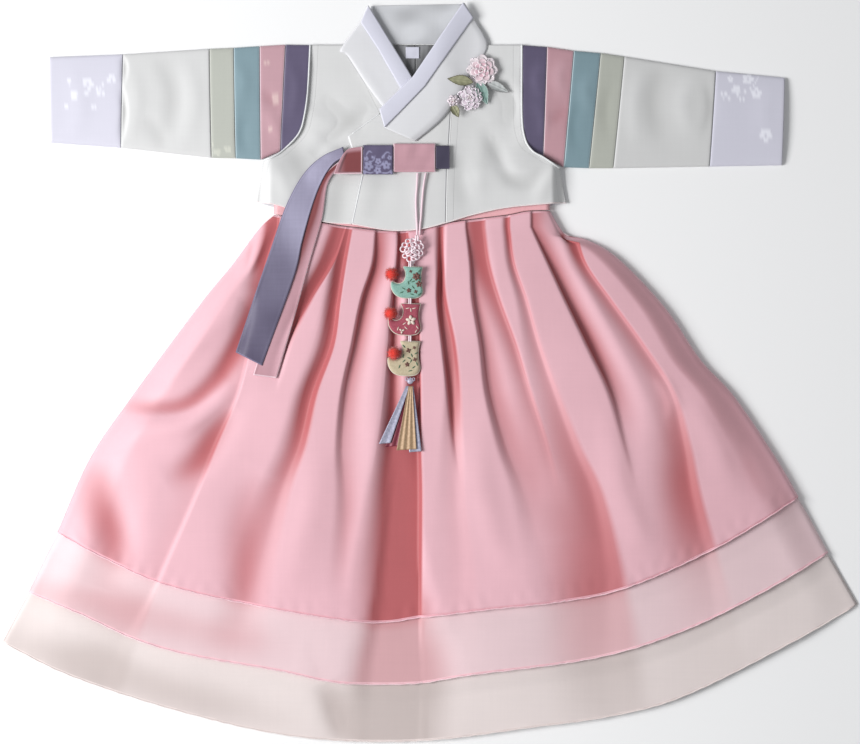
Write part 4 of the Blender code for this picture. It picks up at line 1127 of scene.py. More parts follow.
    def waistband(self) -> None:
        """The band above the pleats, a flattened tube with rounded ends."""
        x = np.linspace(WAIST_LINE[0][0], WAIST_LINE[-1][0], 120)
        rows = np.array([0.9, 2.0, 6.0, 14.0, 26.0, 31.5, WAISTBAND_HEIGHT])
        side = np.minimum(x - x[0], x[-1] - x)
        middle = (JACKET_STEP + SKIRT_STACK) / 2
        reach = (SKIRT_STACK - JACKET_STEP) / 2 * half_round(side, 3)
        y = line_y(WAIST_LINE, x)[None] + rows[:, None]
        wide = np.broadcast_to(x, y.shape)
        upper = np.dstack([wide, y, np.broadcast_to(middle + reach, y.shape)])
        lower = np.dstack([wide, y, np.broadcast_to(middle - reach, y.shape)])
        self.room.laid("waistband", np.hstack([lower[:, 1:-1:4], upper[:, ::-1]]), Finish.WAISTBAND,
                       ("back_left", "back_right"), closed=True)

    def build(self) -> None:
        """Makes the layers, with few rows where one is covered, and the band."""
        covered = np.linspace(0.04, 0.9, 10)
        outer = np.concatenate([np.linspace(0, 0.2, 24)[:-1], np.linspace(0.2, 1, 84)])
        middle = np.concatenate([covered, np.linspace(0.92, 2, 40)])
        under = np.concatenate([covered, np.linspace(0.98, 1.9, 9), np.linspace(1.92, 3, 40)])
        self.layer("skirt_outer", 0, outer, Finish.SKIRT_OUTER, Finish.ROLL_PINK, ("skirt_middle",))
        self.layer("skirt_middle", 1, middle, Finish.SKIRT_MIDDLE, Finish.ROLL_PALE, ("skirt_under",))
        self.layer("skirt_under", 2, under, Finish.SKIRT_UNDER, Finish.ROLL_IVORY, ())
        self.waistband()


# ---------------------------------------------------------------- jacket

# Soft folds of the jacket's front.
JACKET_CREASES = (
    Crease([(-132, 262), (-108, 244), (-84, 236)], 9, 11, 1.1),
    Crease([(-120, 236), (-96, 214), (-70, 196)], 8, 10, 1.2),
    Crease([(-136, 222), (-122, 196), (-114, 166)], 10, 10, -1.3),
    Crease([(-104, 270), (-86, 250), (-62, 232)], 8, 9, -1.0),
    Crease([(-152, 204), (-142, 184), (-136, 164)], 8, 9, 1.1),
    Crease([(-80, 200), (-86, 172), (-92, 130)], 12, 14, -2.0),
    Crease([(104, 214), (78, 200), (40, 190)], 10, 8, 1.4),
    Crease([(116, 201), (98, 184), (77, 189), (64, 214), (50, 240)], 8, 8, -1.9),
    Crease([(-116, 208), (-93, 230), (-58, 260)], 7, 6, -1.5),
    Crease([(62, 282), (78, 262), (74, 236)], 8, 9, -1.2),
    Crease([(80, 286), (92, 262), (92, 236)], 7, 9, 1.1),
    Crease([(56, 244), (48, 210), (46, 166)], 9, 12, 1.0),
    Crease([(98, 236), (84, 216), (66, 206)], 7, 8, 1.0),
    Crease([(120, 196), (110, 180), (104, 162)], 8, 8, 1.2),
    Crease([(32, 214), (30, 188), (36, 156)], 9, 10, -0.9),
    Crease([(-4, 224), (-10, 190), (-6, 150)], 10, 10, 0.6),
    Crease([(-44, 200), (-48, 176), (-56, 146)], 10, 10, -0.8),
    Crease([(10, 300), (26, 284), (34, 262)], 8, 8, 0.7),
    Crease([(-70, 300), (-54, 276), (-40, 252)], 6, 6, 0.5),
)


Surface = Callable[[Array, Array], Array]


def front_level(x: Array, y: Array) -> Array:
    """Underside of the jacket's front, which rises over the skirt's waistband."""
    waist = line_y(WAIST_LINE, x)
    over_band = 1 - smoothstep(y - waist, WAISTBAND_HEIGHT + 2, WAISTBAND_HEIGHT + 48)
    inside = smoothstep(x, -166, -153) * (1 - smoothstep(x, 117, 130))
    return JACKET_STEP + FRONT_LIFT * over_band * inside


def lap(x: Array) -> Array:
    """1 on the left, where the fronts lap, and 0 on the right."""
    return 1 - smoothstep(x, 5, 45)


def front_cloth(x: Array, y: Array) -> Array:
    """Top of the lowest front layer, with its soft creases."""
    inside = smoothstep(x, -168, -150) * (1 - smoothstep(x, 112, 132))
    top = front_level(x, y) + JACKET_WALL + creased(JACKET_CREASES, x, y) * inside
    return np.maximum(top, JACKET_STEP + CLOTH)


def outer_cloth(x: Array, y: Array) -> Array:
    """Top of the outer front and the overlap panel."""
    return front_cloth(x, y) + LAP_STEP * lap(x)


def left_collar_cloth(x: Array, y: Array) -> Array:
    """Top of the left collar."""
    return front_cloth(x, y) + LAP_STEP


def right_collar_cloth(x: Array, y: Array) -> Array:
    """Top of the right collar, which crosses over the left one."""
    return front_cloth(x, y) + LAP_STEP * (1 + 2 * lap(x))


def left_strip_cloth(x: Array, y: Array) -> Array:
    """Top of the white strip on the left collar."""
    return left_collar_cloth(x, y) + LAP_STEP


def right_strip_cloth(x: Array, y: Array) -> Array:
    """Top of the white strip on the right collar."""
    return right_collar_cloth(x, y) + LAP_STEP


def back_cloth(x: Array, _: Array) -> Array:
    """Top of the pieces that lie on the table, the same everywhere."""
    return np.full(np.shape(x), JACKET_WALL)


def raised(plan: Array, top: Surface) -> Array:
    """Plan points with a height from a function of x and y."""
    return np.dstack([plan, top(plan[..., 0], plan[..., 1])])


def ground(x: Array, y: Array) -> Array:
    """The highest cloth at a place, under the ties and the ornament."""
    jacket = front_cloth(x, y) + LAP_STEP * smoothstep(x, -86, -82)
    return np.where(y > line_y(HEM_LINE, x) - 3, jacket, skirt_top(x, y))


def resting_level(x: Array, y: Array, reach: float = 7.0) -> Array:
    """The height at which something reach wide rests at a place: the highest ground around it."""
    angles = np.arange(12) * math.tau / 12
    around = [ground(x, y)]
    for radius in (reach / 2, reach):
        around += [ground(x + radius * math.cos(angle), y + radius * math.sin(angle)) for angle in angles]
    return np.max(around, axis=0) + SEAM_GAP


@dataclass
class Body:
    """The jacket's back halves, its fronts and the panel that laps over."""

    room: Workroom
    rows: int = 110
    columns: int = 84

    def sheet(self, node: str, plan: Array, top: Surface, finish: Finish, rests_on: tuple[str, ...],
              painted_shade_and_tone: Array | None = None) -> None:
        """Lays one panel.

        Args:
            node: The solid that it stands for.
            plan: Its plan points.
            top: Height of the cloth at a place.
            finish: Its finish.
            rests_on: What it lies on.
            painted_shade_and_tone: How dark each place is painted, as shade. Without it, the creases' troughs
                are painted a little darker, as shade.
        """
        if painted_shade_and_tone is None:
            # Painted shade in the creases' troughs.
            painted_shade_and_tone = np.clip(-0.2 * creased(JACKET_CREASES, plan[..., 0], plan[..., 1]), 0, 0.6)
        self.room.laid(node, raised(plan, top), finish, rests_on, fields={"painted_shade_and_tone": painted_shade_and_tone}, edges=Sewn.SIDES)

    def rolled_hem(self, name: str, path: Array, finish: Finish, radius: float = 0.7) -> None:
        """The fine rolled edge along a panel."""
        level = np.where(path[:, 0] < PANEL_EDGE[0][0], front_cloth(*path.T), outer_cloth(*path.T)) - 0.15
        self.room.trim(name, thread_mesh(np.column_stack([path, level]), radius, 6), finish)

    def build(self) -> None:
        """Makes the five panels."""
        half = SEAM_GAP / 2
        left_side = smooth_edge([HEM_LINE[0], (-165, 185)] + LEFT_ARMHOLE, self.rows)
        right_side = smooth_edge([HEM_LINE[-1], (129, 181)] + RIGHT_ARMHOLE, self.rows)
        left_top, right_top = LEFT_ARMHOLE[-1], RIGHT_ARMHOLE[-1]
        seams = [[(x, 142), (x, SHOULDER_Y)] for x in (BACK_SEAM_X - half, BACK_SEAM_X + half)]
        inner_left, inner_right = (resample(seam, self.rows) for seam in seams)
        for node, left, right, start, end, ends in (
                ("back_left", left_side, inner_left, HEM_LINE[0][0], seams[0][0][0], [left_top, seams[0][1]]),
                ("back_right", inner_right, right_side, seams[1][0][0], HEM_LINE[-1][0],
                 [seams[1][1], right_top])):
            hem = hem_part(BACK_HEM, start, end, self.columns)
            plan = patch(left, right, hem, resample(ends, self.columns))
            # Painted shade on the inside of the back round the neck, broken up by a ripple.
            neck = np.exp(-((plan[..., 0] - BACK_SEAM_X) / 34) ** 2) * smoothstep(plan[..., 1], 255, 280)
            neck = neck * (1 - 0.25 * ripple(plan[..., 0], plan[..., 1] * 0.15, 9, 5))
            self.sheet(node, plan, back_cloth, Finish.INSIDE, (), neck)
        plan = patch(left_side, resample(UNDER_FRONT_EDGE, self.rows),
                     hem_part(HEM_LINE, HEM_LINE[0][0], UNDER_FRONT_EDGE[0][0], self.columns),
                     resample([left_top, UNDER_FRONT_EDGE[-1]], self.columns))
        self.sheet("front_under", plan, front_cloth, Finish.IVORY_SEWN, ("back_left", "waistband"))
        inner = [tuple(place) for place in shifted(PANEL_SEAM, half)] + OUTER_FRONT_NECK
        plan = patch(resample(inner, self.rows), right_side,
                     hem_part(HEM_LINE, inner[0][0], HEM_LINE[-1][0], self.columns),
                     resample([OUTER_FRONT_NECK[-1], right_top], self.columns))
        self.sheet("front_outer", plan, outer_cloth, Finish.IVORY_SEWN, ("back_right", "waistband"))
        seam_line = shifted(PANEL_SEAM, -half)
        plan = patch(resample(PANEL_EDGE, self.rows), resample(seam_line, self.rows),
                     hem_part(HEM_LINE, PANEL_EDGE[0][0], seam_line[0][0], self.columns),
                     resample([PANEL_EDGE[-1], (-49, 250), seam_line[-1]], self.columns))
        self.sheet("overlap_panel", plan, outer_cloth, Finish.IVORY_EDGED, ("front_under",))
        corner = PANEL_EDGE[0][0]
        self.rolled_hem("jacket_hem_roll_right", hem_part(HEM_LINE, corner, HEM_LINE[-1][0], 160),
                        Finish.ROLL_JACKET)
        self.rolled_hem("jacket_hem_roll_left", hem_part(HEM_LINE, HEM_LINE[0][0], corner - 0.5, 90),
                        Finish.ROLL_JACKET, 0.6)
        self.rolled_hem("overlap_edge_roll", resample(PANEL_EDGE + [(-49, 250)], 120), Finish.PIPING, 0.6)


@dataclass
class Collar:
    """The collar's bands, the white strips on them and the blank label inside."""

    room: Workroom
    rows: int = 90
    columns: int = 22
    label: tuple[float, float, float, float] = (-23.5, -10.5, 304, 315)

    def band(self, node: str, first: Array, second: Array, top: Surface, finish: Finish,
             rests_on: tuple[str, ...], crown: float = 0.5, dip: float = 0.0, painted_shade_and_tone: float = 0.0) -> None:
        """A band between two edges that run the same way: its section is a low arch with round edges.

        Args:
            node: The solid that it stands for.
            first: Places along its inner edge.
            second: As many places along its outer edge.
            top: Height of the cloth at a place.
            finish: Its finish.
            rests_on: What it lies on.
            crown: Height of the arch.
            dip: How far the outer edge comes down, twice that where the fronts lap.
            painted_shade_and_tone: How dark it is painted on the whole, as shade, uneven as in the shade of
                wrinkles.
        """
        share = np.linspace(0, 1, self.columns)
        plan = first[:, None] + (second - first)[:, None] * share[None, :, None]
        grid = raised(plan, top)
        width = np.linalg.norm(second - first, axis=1)[:, None]
        edge = np.minimum(share, 1 - share)[None] * width
        grid[..., 2] += crown * np.sin(math.pi * share)[None] - 0.5 * (1 - half_round(edge, 1.2))
        outer = (1 - share)[None] * width
        grid[..., 2] -= dip * (1 + lap(plan[..., 0])) * (1 - smoothstep(outer, 0, 7))
        # Painted shade, uneven as in the shade of wrinkles.
        shade = painted_shade_and_tone * (0.5 + 0.7 * ripple(plan[..., 0], plan[..., 1], 34, 8))
        self.room.laid(node, grid, finish, rests_on, fields={"painted_shade_and_tone": np.clip(shade, 0, 1)})

    def build(self) -> None:
        """Makes the bands from the neck outwards."""
        rows = self.rows
        # The inside of the back collar is painted darker, as shade.
        self.band("collar_back", resample([(-72, 318), (-66, 332), (-57, 355)], rows),
                  resample([(49, 318), (44, 334), (32, 356.5)], rows), back_cloth, Finish.INSIDE, (), 0.2,
                  painted_shade_and_tone=0.3)
        self.band("collar_left",
                  smooth_edge([(-61, 354), (-69, 337), (-84, 317), (-87, 310), (-80, 306), (-63, 280),
                               (-46, 257), (-43, 253.5)], rows),
                  resample([(-59.5, 355), (-45, 331), (-17, 285), (-11, 276)], rows),
                  left_collar_cloth, Finish.GIT, ("front_under",))
        self.band("collar_strip_left", resample([(-67, 338), (-50, 312), (-29, 275), (-22, 262)], rows),
                  resample([(-59.5, 354.5), (-17, 285), (-11, 275)], rows), left_strip_cloth, Finish.WHITE,
                  ("collar_left",))
        self.band("collar_right", resample([(32, 357.7), (-17, 285), (-49, 254), (-44, 236)], rows),
                  smooth_edge([(34, 357), (44, 340), (56, 317), (47, 298), (34, 275), (19, 253), (6, 239),
                               (-14, 223)], rows),
                  right_collar_cloth, Finish.GIT, ("front_outer", "collar_left"), dip=1.0)
        self.band("collar_strip_right", resample([(32, 357.4), (-17, 285), (-49, 254)], rows),
                  resample([(42, 343), (-5, 276), (-30, 250), (-44, 236)], rows), right_strip_cloth,
                  Finish.WHITE, ("collar_right",))
        left, right, low, high = self.label
        x, y = np.meshgrid(np.linspace(left, right, 24), np.linspace(low, high, 20))
        z = np.full(x.shape, JACKET_STEP + 0.6) + 0.15 * ripple(x, y, 12, 5)
        self.room.laid("label", np.dstack([x, y, z]), Finish.WHITE, ("back_left", "back_right"),
                       thickness=0.3)


# ---------------------------------------------------------------- sleeves

# Seams from the cuff to the armhole: x and y of the upper end, then of the lower one.
LEFT_SLEEVE = [(-368.6, 305.2, -367.6, 222.3), (-297.3, 307.9, -299.3, 217.3),
               (-213.4, 313.3, -211.5, 207.6), (-190.1, 314.3, -188.2, 207.1),
               (-164.9, 315.9, -163.9, 205.8), (-139.7, 317.4, -144.7, 214.0)]
RIGHT_SLEEVE = [(343.7, 285.3, 341.1, 200.4), (276.9, 291.6, 270.9, 199.2),
                (188.2, 305.7, 177.4, 197.5), (165.3, 309.2, 154.0, 197.5),
                (139.3, 311.4, 129.4, 198.4), (113.3, 315.2, 109.5, 209.0)]


def blossom(x: Array, y: Array, centre: tuple[float, float], radius: float, turn: float = 0.0) -> Array:
    """A woven five-petalled flower: 1 inside the petals, 0 in its eye and outside."""
    away = np.hypot(x - centre[0], y - centre[1])
    angle = np.arctan2(y - centre[1], x - centre[0]) + turn
    reach = radius * (0.62 + 0.38 * np.abs(np.cos(2.5 * angle)))
    return smoothstep(reach - away, -0.5, 0.6) * smoothstep(away, 0.12 * radius, 0.28 * radius)


def sprig(x: Array, y: Array, path: Line, thick: float = 0.7) -> Array:
    """A woven twig: 1 within a short distance of a smooth line."""
    twig = Crease(path, thick, thick, 1.0)
    return np.clip(twig.relief(x, y) * 1.6, 0, 1)


@dataclass(frozen=True)
class Band:
    """One band of a sleeve: its name, its finish and how many rows it is laid in."""

    name: str
    finish: Finish
    rows: int


@dataclass
class Sleeve:
    """A sleeve of six bands, each a flattened tube, with the piping round the armhole."""

    room: Workroom
    side: str
    seams: list[tuple[float, float, float, float]]
    armhole: Line
    motifs: dict[str, Surface]
    creases: tuple[Crease, ...]
    # Painted shade over the whole sleeve: the right one, farther from the key light, is painted darker.
    shade: float = 0.0
    around: int = 64
    bands: tuple[Band, ...] = (Band("cuff", Finish.CUFF, 76), Band("ivory", Finish.IVORY, 60),
                               Band("sage", Finish.SAGE, 26), Band("teal", Finish.TEAL, 26),
                               Band("pink", Finish.ROSE, 26), Band("purple", Finish.PURPLE, 26))

    @property
    def inwards(self) -> int:
        """1 where the jacket lies towards +X, or -1."""
        return 1 if self.side == "left" else -1

    def seam_line(self, number: int, places: Array) -> Array:
        """A seam's places, from its lower to its upper end. The last one is the armhole."""
        if number < len(self.seams):
            low, high = np.array(self.seams[number][2:]), np.array(self.seams[number][:2])
            return low + (high - low) * places[:, None]
        edge = smooth_edge(self.armhole[ARMHOLE_START:], 200) - np.array([self.inwards * SEAM_GAP, 0])
        even = np.linspace(0, 1, 200)
        return np.column_stack([np.interp(places, even, edge[:, axis]) for axis in (0, 1)])

    def crown(self, places: Array, width: Array) -> tuple[Array, Array]:
        """Height of the front and of the back at shares of the way across: a low arch on a round edge."""
        flat = SLEEVE_FLAT / 2
        edge = half_round(np.minimum(places, 1 - places) * width, 2.5)
        arch = SLEEVE_FLAT + SLEEVE_PUFF * np.sin(math.pi * np.clip(places, 0, 1)) ** 0.5
        return flat + (arch - flat) * edge, flat - flat * edge

    def band(self, number: int, band: Band) -> None:
        """Lays one band between two seams; it dips a little at each seam."""
        half = self.around // 2
        places = 0.5 - 0.5 * np.cos(np.linspace(0, math.pi, half))
        start, end = self.seam_line(number, places), self.seam_line(number + 1, places)
        end = end - np.array([self.inwards * SEAM_GAP, 0])
        share = np.linspace(0, 1, band.rows)[:, None, None]
        plan = start + (end - start) * share
        width = np.linalg.norm(plan[:, -1] - plan[:, 0], axis=1)[:, None]
        front, back = self.crown(places[None] * np.ones_like(width), width)
        run = np.linalg.norm(end - start, axis=1)[None] * np.minimum(share, 1 - share)[..., 0]
        inside = np.minimum(places, 1 - places)[None] * width
        front = front - 0.35 * np.exp(-(run / 1.1) ** 2) * half_round(inside, 3)
        soft = creased(self.creases, plan[..., 0], plan[..., 1]) * half_round(inside, 14)
        front = front + soft
        # Painted shade: the sleeve's painted shade, darker in the creases' troughs and lighter on their
        # ridges.
        shade = np.clip(self.shade - 0.25 * soft, 0, 0.7)
        upper = np.dstack([plan, front])
        lower = np.dstack([plan, np.broadcast_to(back, front.shape)])
        grid = np.hstack([lower[:, 1:-1:2], upper[:, ::-1]])
        fields = {"painted_shade_and_tone": np.hstack([shade[:, 1:-1:2], shade[:, ::-1]])}
        if band.name in self.motifs:
            fields["motif"] = self.motifs[band.name](grid[..., 0], grid[..., 1])
        self.room.laid(f"sleeve_{self.side}_{band.name}", grid, band.finish, (), closed=True, fields=fields)

    def piping(self) -> None:
        """The piping round the armhole, on top of the seam."""
        line = smooth_edge(self.armhole, 90)
        x, y = line[:, 0], line[:, 1]
        body = front_cloth(x, y)
        sleeve = SLEEVE_FLAT + SLEEVE_PUFF * np.sin(math.pi * smoothstep(y, 196, SHOULDER_Y)) ** 0.5
        z = np.maximum(body, np.minimum(sleeve, body + 1.6)) + 0.5
        self.room.trim(f"armhole_piping_{self.side}_cord", thread_mesh(np.column_stack([x, y, z]), 0.8, 10),
                       Finish.PIPING, f"armhole_piping_{self.side}")

    def build(self) -> None:
        """Makes the bands from the cuff to the armhole, and the piping."""
        for number, band in enumerate(self.bands):
            self.band(number, band)
        self.piping()


def flowers_at(x: Array, y: Array, flowers: tuple[tuple[float, float, float, float], ...]) -> Array:
    """Woven flowers, each given by its x, y, radius and turn."""
    found = np.zeros(x.shape)
    for across, along, radius, turn in flowers:
        found += blossom(x, y, (across, along), radius, turn)
    return found


def left_cuff_motif(x: Array, y: Array) -> Array:
    """A blossom spray woven into the left cuff."""
    found = flowers_at(x, y, ((-331, 279, 6, 0), (-318, 270, 4.5, 0.6), (-344, 268, 4, 1.0),
                              (-308, 283, 4.5, 0.4), (-349, 281, 3, 0.2), (-325, 257, 3.5, 0.9),
                              (-352, 256, 2.5, 0.5)))
    return np.clip(found + sprig(x, y, [(-354, 262), (-338, 268), (-322, 274), (-304, 290)], 0.5), 0, 1)


def right_cuff_motif(x: Array, y: Array) -> Array:
    """A blossom spray and a single flower woven into the right cuff."""
    found = flowers_at(x, y, ((308, 284, 6, 0), (296, 274, 5, 0.6), (284, 269, 4, 0.2), (316, 270, 5.5, 1.0),
                              (302, 264, 3, 0.4), (291, 284, 3, 0.8), (325, 229, 6.5, 0.3)))
    return np.clip(found + sprig(x, y, [(282, 262), (297, 268), (312, 276), (320, 290)], 0.5), 0, 1)


def left_rose_motif(x: Array, y: Array) -> Array:
    """Small flowers woven into the left rose band."""
    return np.clip(flowers_at(x, y, ((-149, 264, 4.5, 0), (-155, 236, 3, 0.6), (-158, 300, 3, 0.3))), 0, 1)


def left_sage_motif(x: Array, y: Array) -> Array:
    """Small flowers woven near the lower edge of the left sage band."""
    return np.clip(flowers_at(x, y, ((-206, 213, 4, 0), (-196, 216, 4, 0.6), (-212, 221, 2.5, 0.3))), 0, 1)


# Soft folds of the sleeves, with the deeper ones where the cuff is sewn on.
LEFT_SLEEVE_CREASES = (
    Crease([(-290, 296), (-284, 262), (-292, 222)], 8, 10, 0.9),
    Crease([(-262, 306), (-248, 272), (-252, 226)], 12, 9, -1.0),
    Crease([(-236, 304), (-228, 262), (-238, 222)], 9, 12, 0.9),
    Crease([(-276, 248), (-262, 230), (-258, 214)], 7, 9, -0.8),
    Crease([(-297.5, 274), (-294.5, 252), (-298, 226)], 1.6, 4.4, -2.4),
    Crease([(-297, 306), (-294.5, 294), (-297, 280)], 1.6, 4.4, -2.0),
    Crease([(-346, 292), (-338, 258), (-346, 226)], 9, 10, 0.5),
    Crease([(-188, 300), (-180, 282), (-186, 262)], 7, 6, 0.8),
    Crease([(-176, 250), (-182, 232), (-178, 212)], 6, 6, -0.7),
    Crease([(-162, 272), (-152, 262), (-142, 262)], 5, 6, -0.9),
    Crease([(-160, 252), (-150, 240), (-146, 224)], 6, 7, 1.0),
    Crease([(-136, 300), (-128, 276), (-134, 244)], 6, 6, 0.8),
)
RIGHT_SLEEVE_CREASES = (
    Crease([(256, 292), (244, 262), (252, 226)], 9, 11, 0.9),
    Crease([(226, 300), (216, 262), (224, 222)], 10, 9, -1.0),
    Crease([(204, 296), (196, 258), (200, 220)], 8, 9, 0.8),
    Crease([(268, 280), (272, 256), (266, 230)], 6, 5, -0.9),
    Crease([(330, 280), (322, 252), (330, 226)], 9, 11, 0.4),
    Crease([(160, 290), (150, 274), (156, 250)], 6, 8, 0.9),
    Crease([(146, 262), (138, 242), (142, 216)], 6, 6, -0.8),
    Crease([(132, 304), (124, 286), (130, 266)], 6, 8, 0.9),
    Crease([(134, 256), (122, 246), (114, 246)], 5, 6, -0.9),
    Crease([(112, 302), (104, 284), (110, 262)], 7, 7, 1.2),
    Crease([(100, 262), (110, 244), (106, 226)], 6, 6, 0.9),
    Crease([(176, 282), (170, 256), (172, 226)], 5, 7, -0.6),
)


# ---------------------------------------------------------------- ties

def eased(level: Array, turns: int) -> Array:
    """A height grid with its bumps eased: each turn takes the mean of every place and its neighbours."""
    for _ in range(turns):
        padded = np.pad(level, 1, mode="edge")
        level = (padded[:-2, 1:-1] + padded[2:, 1:-1] + padded[1:-1, :-2] + padded[1:-1, 2:]
                 + 2 * padded[1:-1, 1:-1]) / 6
    return level


def wrap_motif(x: Array, y: Array) -> Array:
    """Silvery flowers and curls woven into the lower half of the purple wrap."""
    found = flowers_at(x, y, ((-59, 198.5, 4.6, 0.2), (-42, 199.5, 4.4, 0.9), (-50.5, 194.5, 3.8, 0.5),
                              (-61.5, 206, 2.4, 0.0), (-39, 207, 2.4, 0.6), (-50, 203.5, 3.2, 0.3),
                              (-55.5, 207.5, 1.6, 0.4), (-45, 208, 1.7, 0.8), (-63, 192.5, 2.0, 0.1),
                              (-37, 192.6, 1.9, 0.2)))
    for path in ([(-64, 194), (-58, 192), (-54, 193)], [(-47, 192), (-41, 192), (-37, 195)],
                 [(-63, 202), (-55, 204), (-53, 209)], [(-54, 200), (-48, 199), (-44, 204)],
                 [(-47, 206), (-42, 212), (-38, 211)], [(-62, 209), (-59, 213), (-56, 212)]):
        found += sprig(x, y, path, 0.55)
    return np.clip(found, 0, 1)


@dataclass(frozen=True)
class TieBand:
    """One piece of the knotted row: left and right x, low and high y, how thick it lies, and its finish."""

    left: float
    right: float
    low: float
    high: float
    thickness: float
    finish: Finish


@dataclass
class Ties:
    """The knotted ties: two tails that hang to the left and the folded row across the chest."""

    room: Workroom
    reach: float = 6.0
    purple_tail: tuple[Line, Line] = (
        [(-84, 218), (-105, 208), (-123, 190), (-140, 158), (-155, 114), (-167, 79), (-187, 19)],
        [(-82, 208), (-94, 200), (-105, 182), (-114, 158), (-123, 125), (-131, 90), (-161, 6)])
    pink_tail: tuple[Line, Line] = (
        [(-84, 206), (-97, 196), (-112, 178), (-124, 150), (-136, 110), (-150, 60), (-170, -3)],
        [(-80, 200), (-90, 195), (-99, 180), (-104, 148), (-115, 108), (-130, 53), (-147, -6)])

    def tail(self, node: str, edges: tuple[Line, Line], rise: float, finish: Finish,
             shade: tuple[float, float], rests_on: tuple[str, ...], tuck_shadow: float = 0.0) -> None:
        """A hanging ribbon that rests on the cloth under it and keeps its own stiffness.

        Args:
            node: The solid that it stands for.
            edges: Its left and its right edge, from the knot down.
            rise: How far it lies above the cloth.
            finish: Its finish.
            shade: How dark it is at the knot and at its end.
            rests_on: What it lies on.
            tuck_shadow: How much painted shadow it takes where its upper part turns in under the other
                ribbon.
        """
        first, second = smooth_edge(edges[0], 150), smooth_edge(edges[1], 150)
        share = np.linspace(0, 1, 26)
        plan = first[:, None] + (second - first)[:, None] * share[None, :, None]
        x, y = plan[..., 0], plan[..., 1]
        level = eased(resting_level(x, y, self.reach), 14)
        level += max(0.0, float((ground(x, y) + SEAM_GAP - level).max())) + rise
        width = np.linalg.norm(second - first, axis=1)[:, None]
        edge = np.minimum(share, 1 - share)[None] * width
        run = np.linspace(0, 1, 150)[:, None]
        selvedge = 0.35 * np.exp(-((edge - 1.2) / 0.8) ** 2) - 0.5 * (1 - half_round(edge, 0.8))
        top = level + RIBBON_WALL + selvedge
        top = top + 0.5 * np.sin(math.pi * share)[None] * np.sin(run * 9)
        # Painted shade that changes from the knot to the end, with a ripple of uneven tone.
        dark = shade[0] + (shade[1] - shade[0]) * smoothstep(run, 0.15, 0.85) + 0.12 * ripple(x, y, 60, 11)
        # Painted shadow where its upper part turns in under the other ribbon.
        dark = dark + tuck_shadow * (1 - smoothstep(share[None], 0.5, 0.85)) * (1 - smoothstep(run, 0.4, 0.6))
        # Painted shade next to the knot.
        dark = np.clip(dark + 0.5 * (1 - smoothstep(run, 0, 0.1)), 0, 1)
        self.room.laid(node, np.dstack([x, y, top]), finish, rests_on, held="draped",
                       fields={"painted_shade_and_tone": dark * np.ones_like(x)})

    def row_level(self, x: Array, y: Array) -> Array:
        """Underside of the knotted row."""
        return front_level(x, y) + 2 * LAP_STEP

    def row_band(self, node: str, band: TieBand, motif: Surface | None = None) -> None:
        """A flattened loop of ribbon with round top and bottom folds, and ends that dip."""
        columns = np.linspace(band.left, band.right, 60)
        turn = 0.5 - 0.5 * np.cos(np.linspace(0, math.pi, 40))
        y = band.low + (band.high - band.low) * turn
        x, y = np.meshgrid(columns, y, indexing="ij")
        base = self.row_level(x, y)
        inner = np.minimum(y - band.low, band.high - y)
        ends = half_round(np.minimum(x - band.left, band.right - x) + 0.4, 1.6)
        share = half_round(inner, 2.2)
        middle = base + band.thickness / 2
        puff = 0.25 * ripple(x, y, 22, 4)
        top = middle + (band.thickness / 2 * ends + puff) * share
        bottom = middle - band.thickness / 2 * share
        grid = np.hstack([np.dstack([x, y, bottom])[:, 1:-1:3], np.dstack([x, y, top])[:, ::-1]])
        fields = {"motif": motif(grid[..., 0], grid[..., 1])} if motif else {}
        self.room.laid(node, grid, band.finish, ("overlap_panel", "front_outer"), held="folded", closed=True,
                       fields=fields)

    def pink_fold(self) -> None:
        """The pink ribbon's turn at the left of the row: a raised edge round a deeper inside."""
        left = smooth_edge([(-93, 190.5), (-89.5, 200), (-84, 210.5)], 60)
        right = resample([(-65.3, 191), (-65.3, 218)], 60)
        bottom = resample([(-93, 190.5), (-65.3, 191)], 60)
        top = smooth_edge([(-84, 210.5), (-78, 216), (-65.3, 218)], 60)
        plan = patch(left, right, bottom, top)
        x, y = plan[..., 0], plan[..., 1]
        from_left = x - left[:, :1]
        from_low = y - bottom[:1, 1]
        from_top = top[None, :, 1] - y
        hollow = smoothstep(from_left, 3.0, 6.5) * smoothstep(from_low, 1.2, 3.0)
        hollow = hollow * smoothstep(from_top, 2.0, 6.0)
        edge = half_round(np.minimum(np.minimum(from_left, from_low), from_top), 1.2)
        level = self.row_level(x, y) + 4.4
        level = level + 1.5 * edge - 1.3 * hollow - 0.3
        # Painted shade in the hollow inside the turn.
        self.room.laid("tie_fold_pink", np.dstack([x, y, level]), Finish.ROSE_TIE, ("overlap_panel",),
                       held="folded", fields={"painted_shade_and_tone": 0.2 + 0.8 * hollow * smoothstep(x, -92, -80)})

    def build(self) -> None:
        """Makes the tails, then the row over them."""
        self.tail("tie_tail_pink", self.pink_tail, 0.0, Finish.ROSE_TIE, (0.15, 0.0), ("skirt_outer",), 0.95)
        self.tail("tie_tail_purple", self.purple_tail, RIBBON_WALL + SEAM_GAP, Finish.PURPLE_TIE, (0.0, 0.9),
                  ("tie_tail_pink",))
        self.pink_fold()
        self.row_band("tie_wrap_purple", TieBand(-64.5, -35.8, 190.5, 219.5, 4.5, Finish.PURPLE_WRAP),
                      wrap_motif)
        self.row_band("tie_loop_pink", TieBand(-35.4, 5.2, 193, 221, 3.5, Finish.ROSE_TIE))
        self.row_band("tie_end_purple", TieBand(5.6, 19, 196, 219, 2.5, Finish.DARK_END))


# ---------------------------------------------------------------- hanging ornament

def level_over(left: float, right: float, low: float, high: float) -> float:
    """The height at which a stiff piece rests on the cloth under its outline."""
    x, y = np.meshgrid(np.linspace(left, right, 15), np.linspace(low, high, 15))
    return float(ground(x, y).max()) + SEAM_GAP


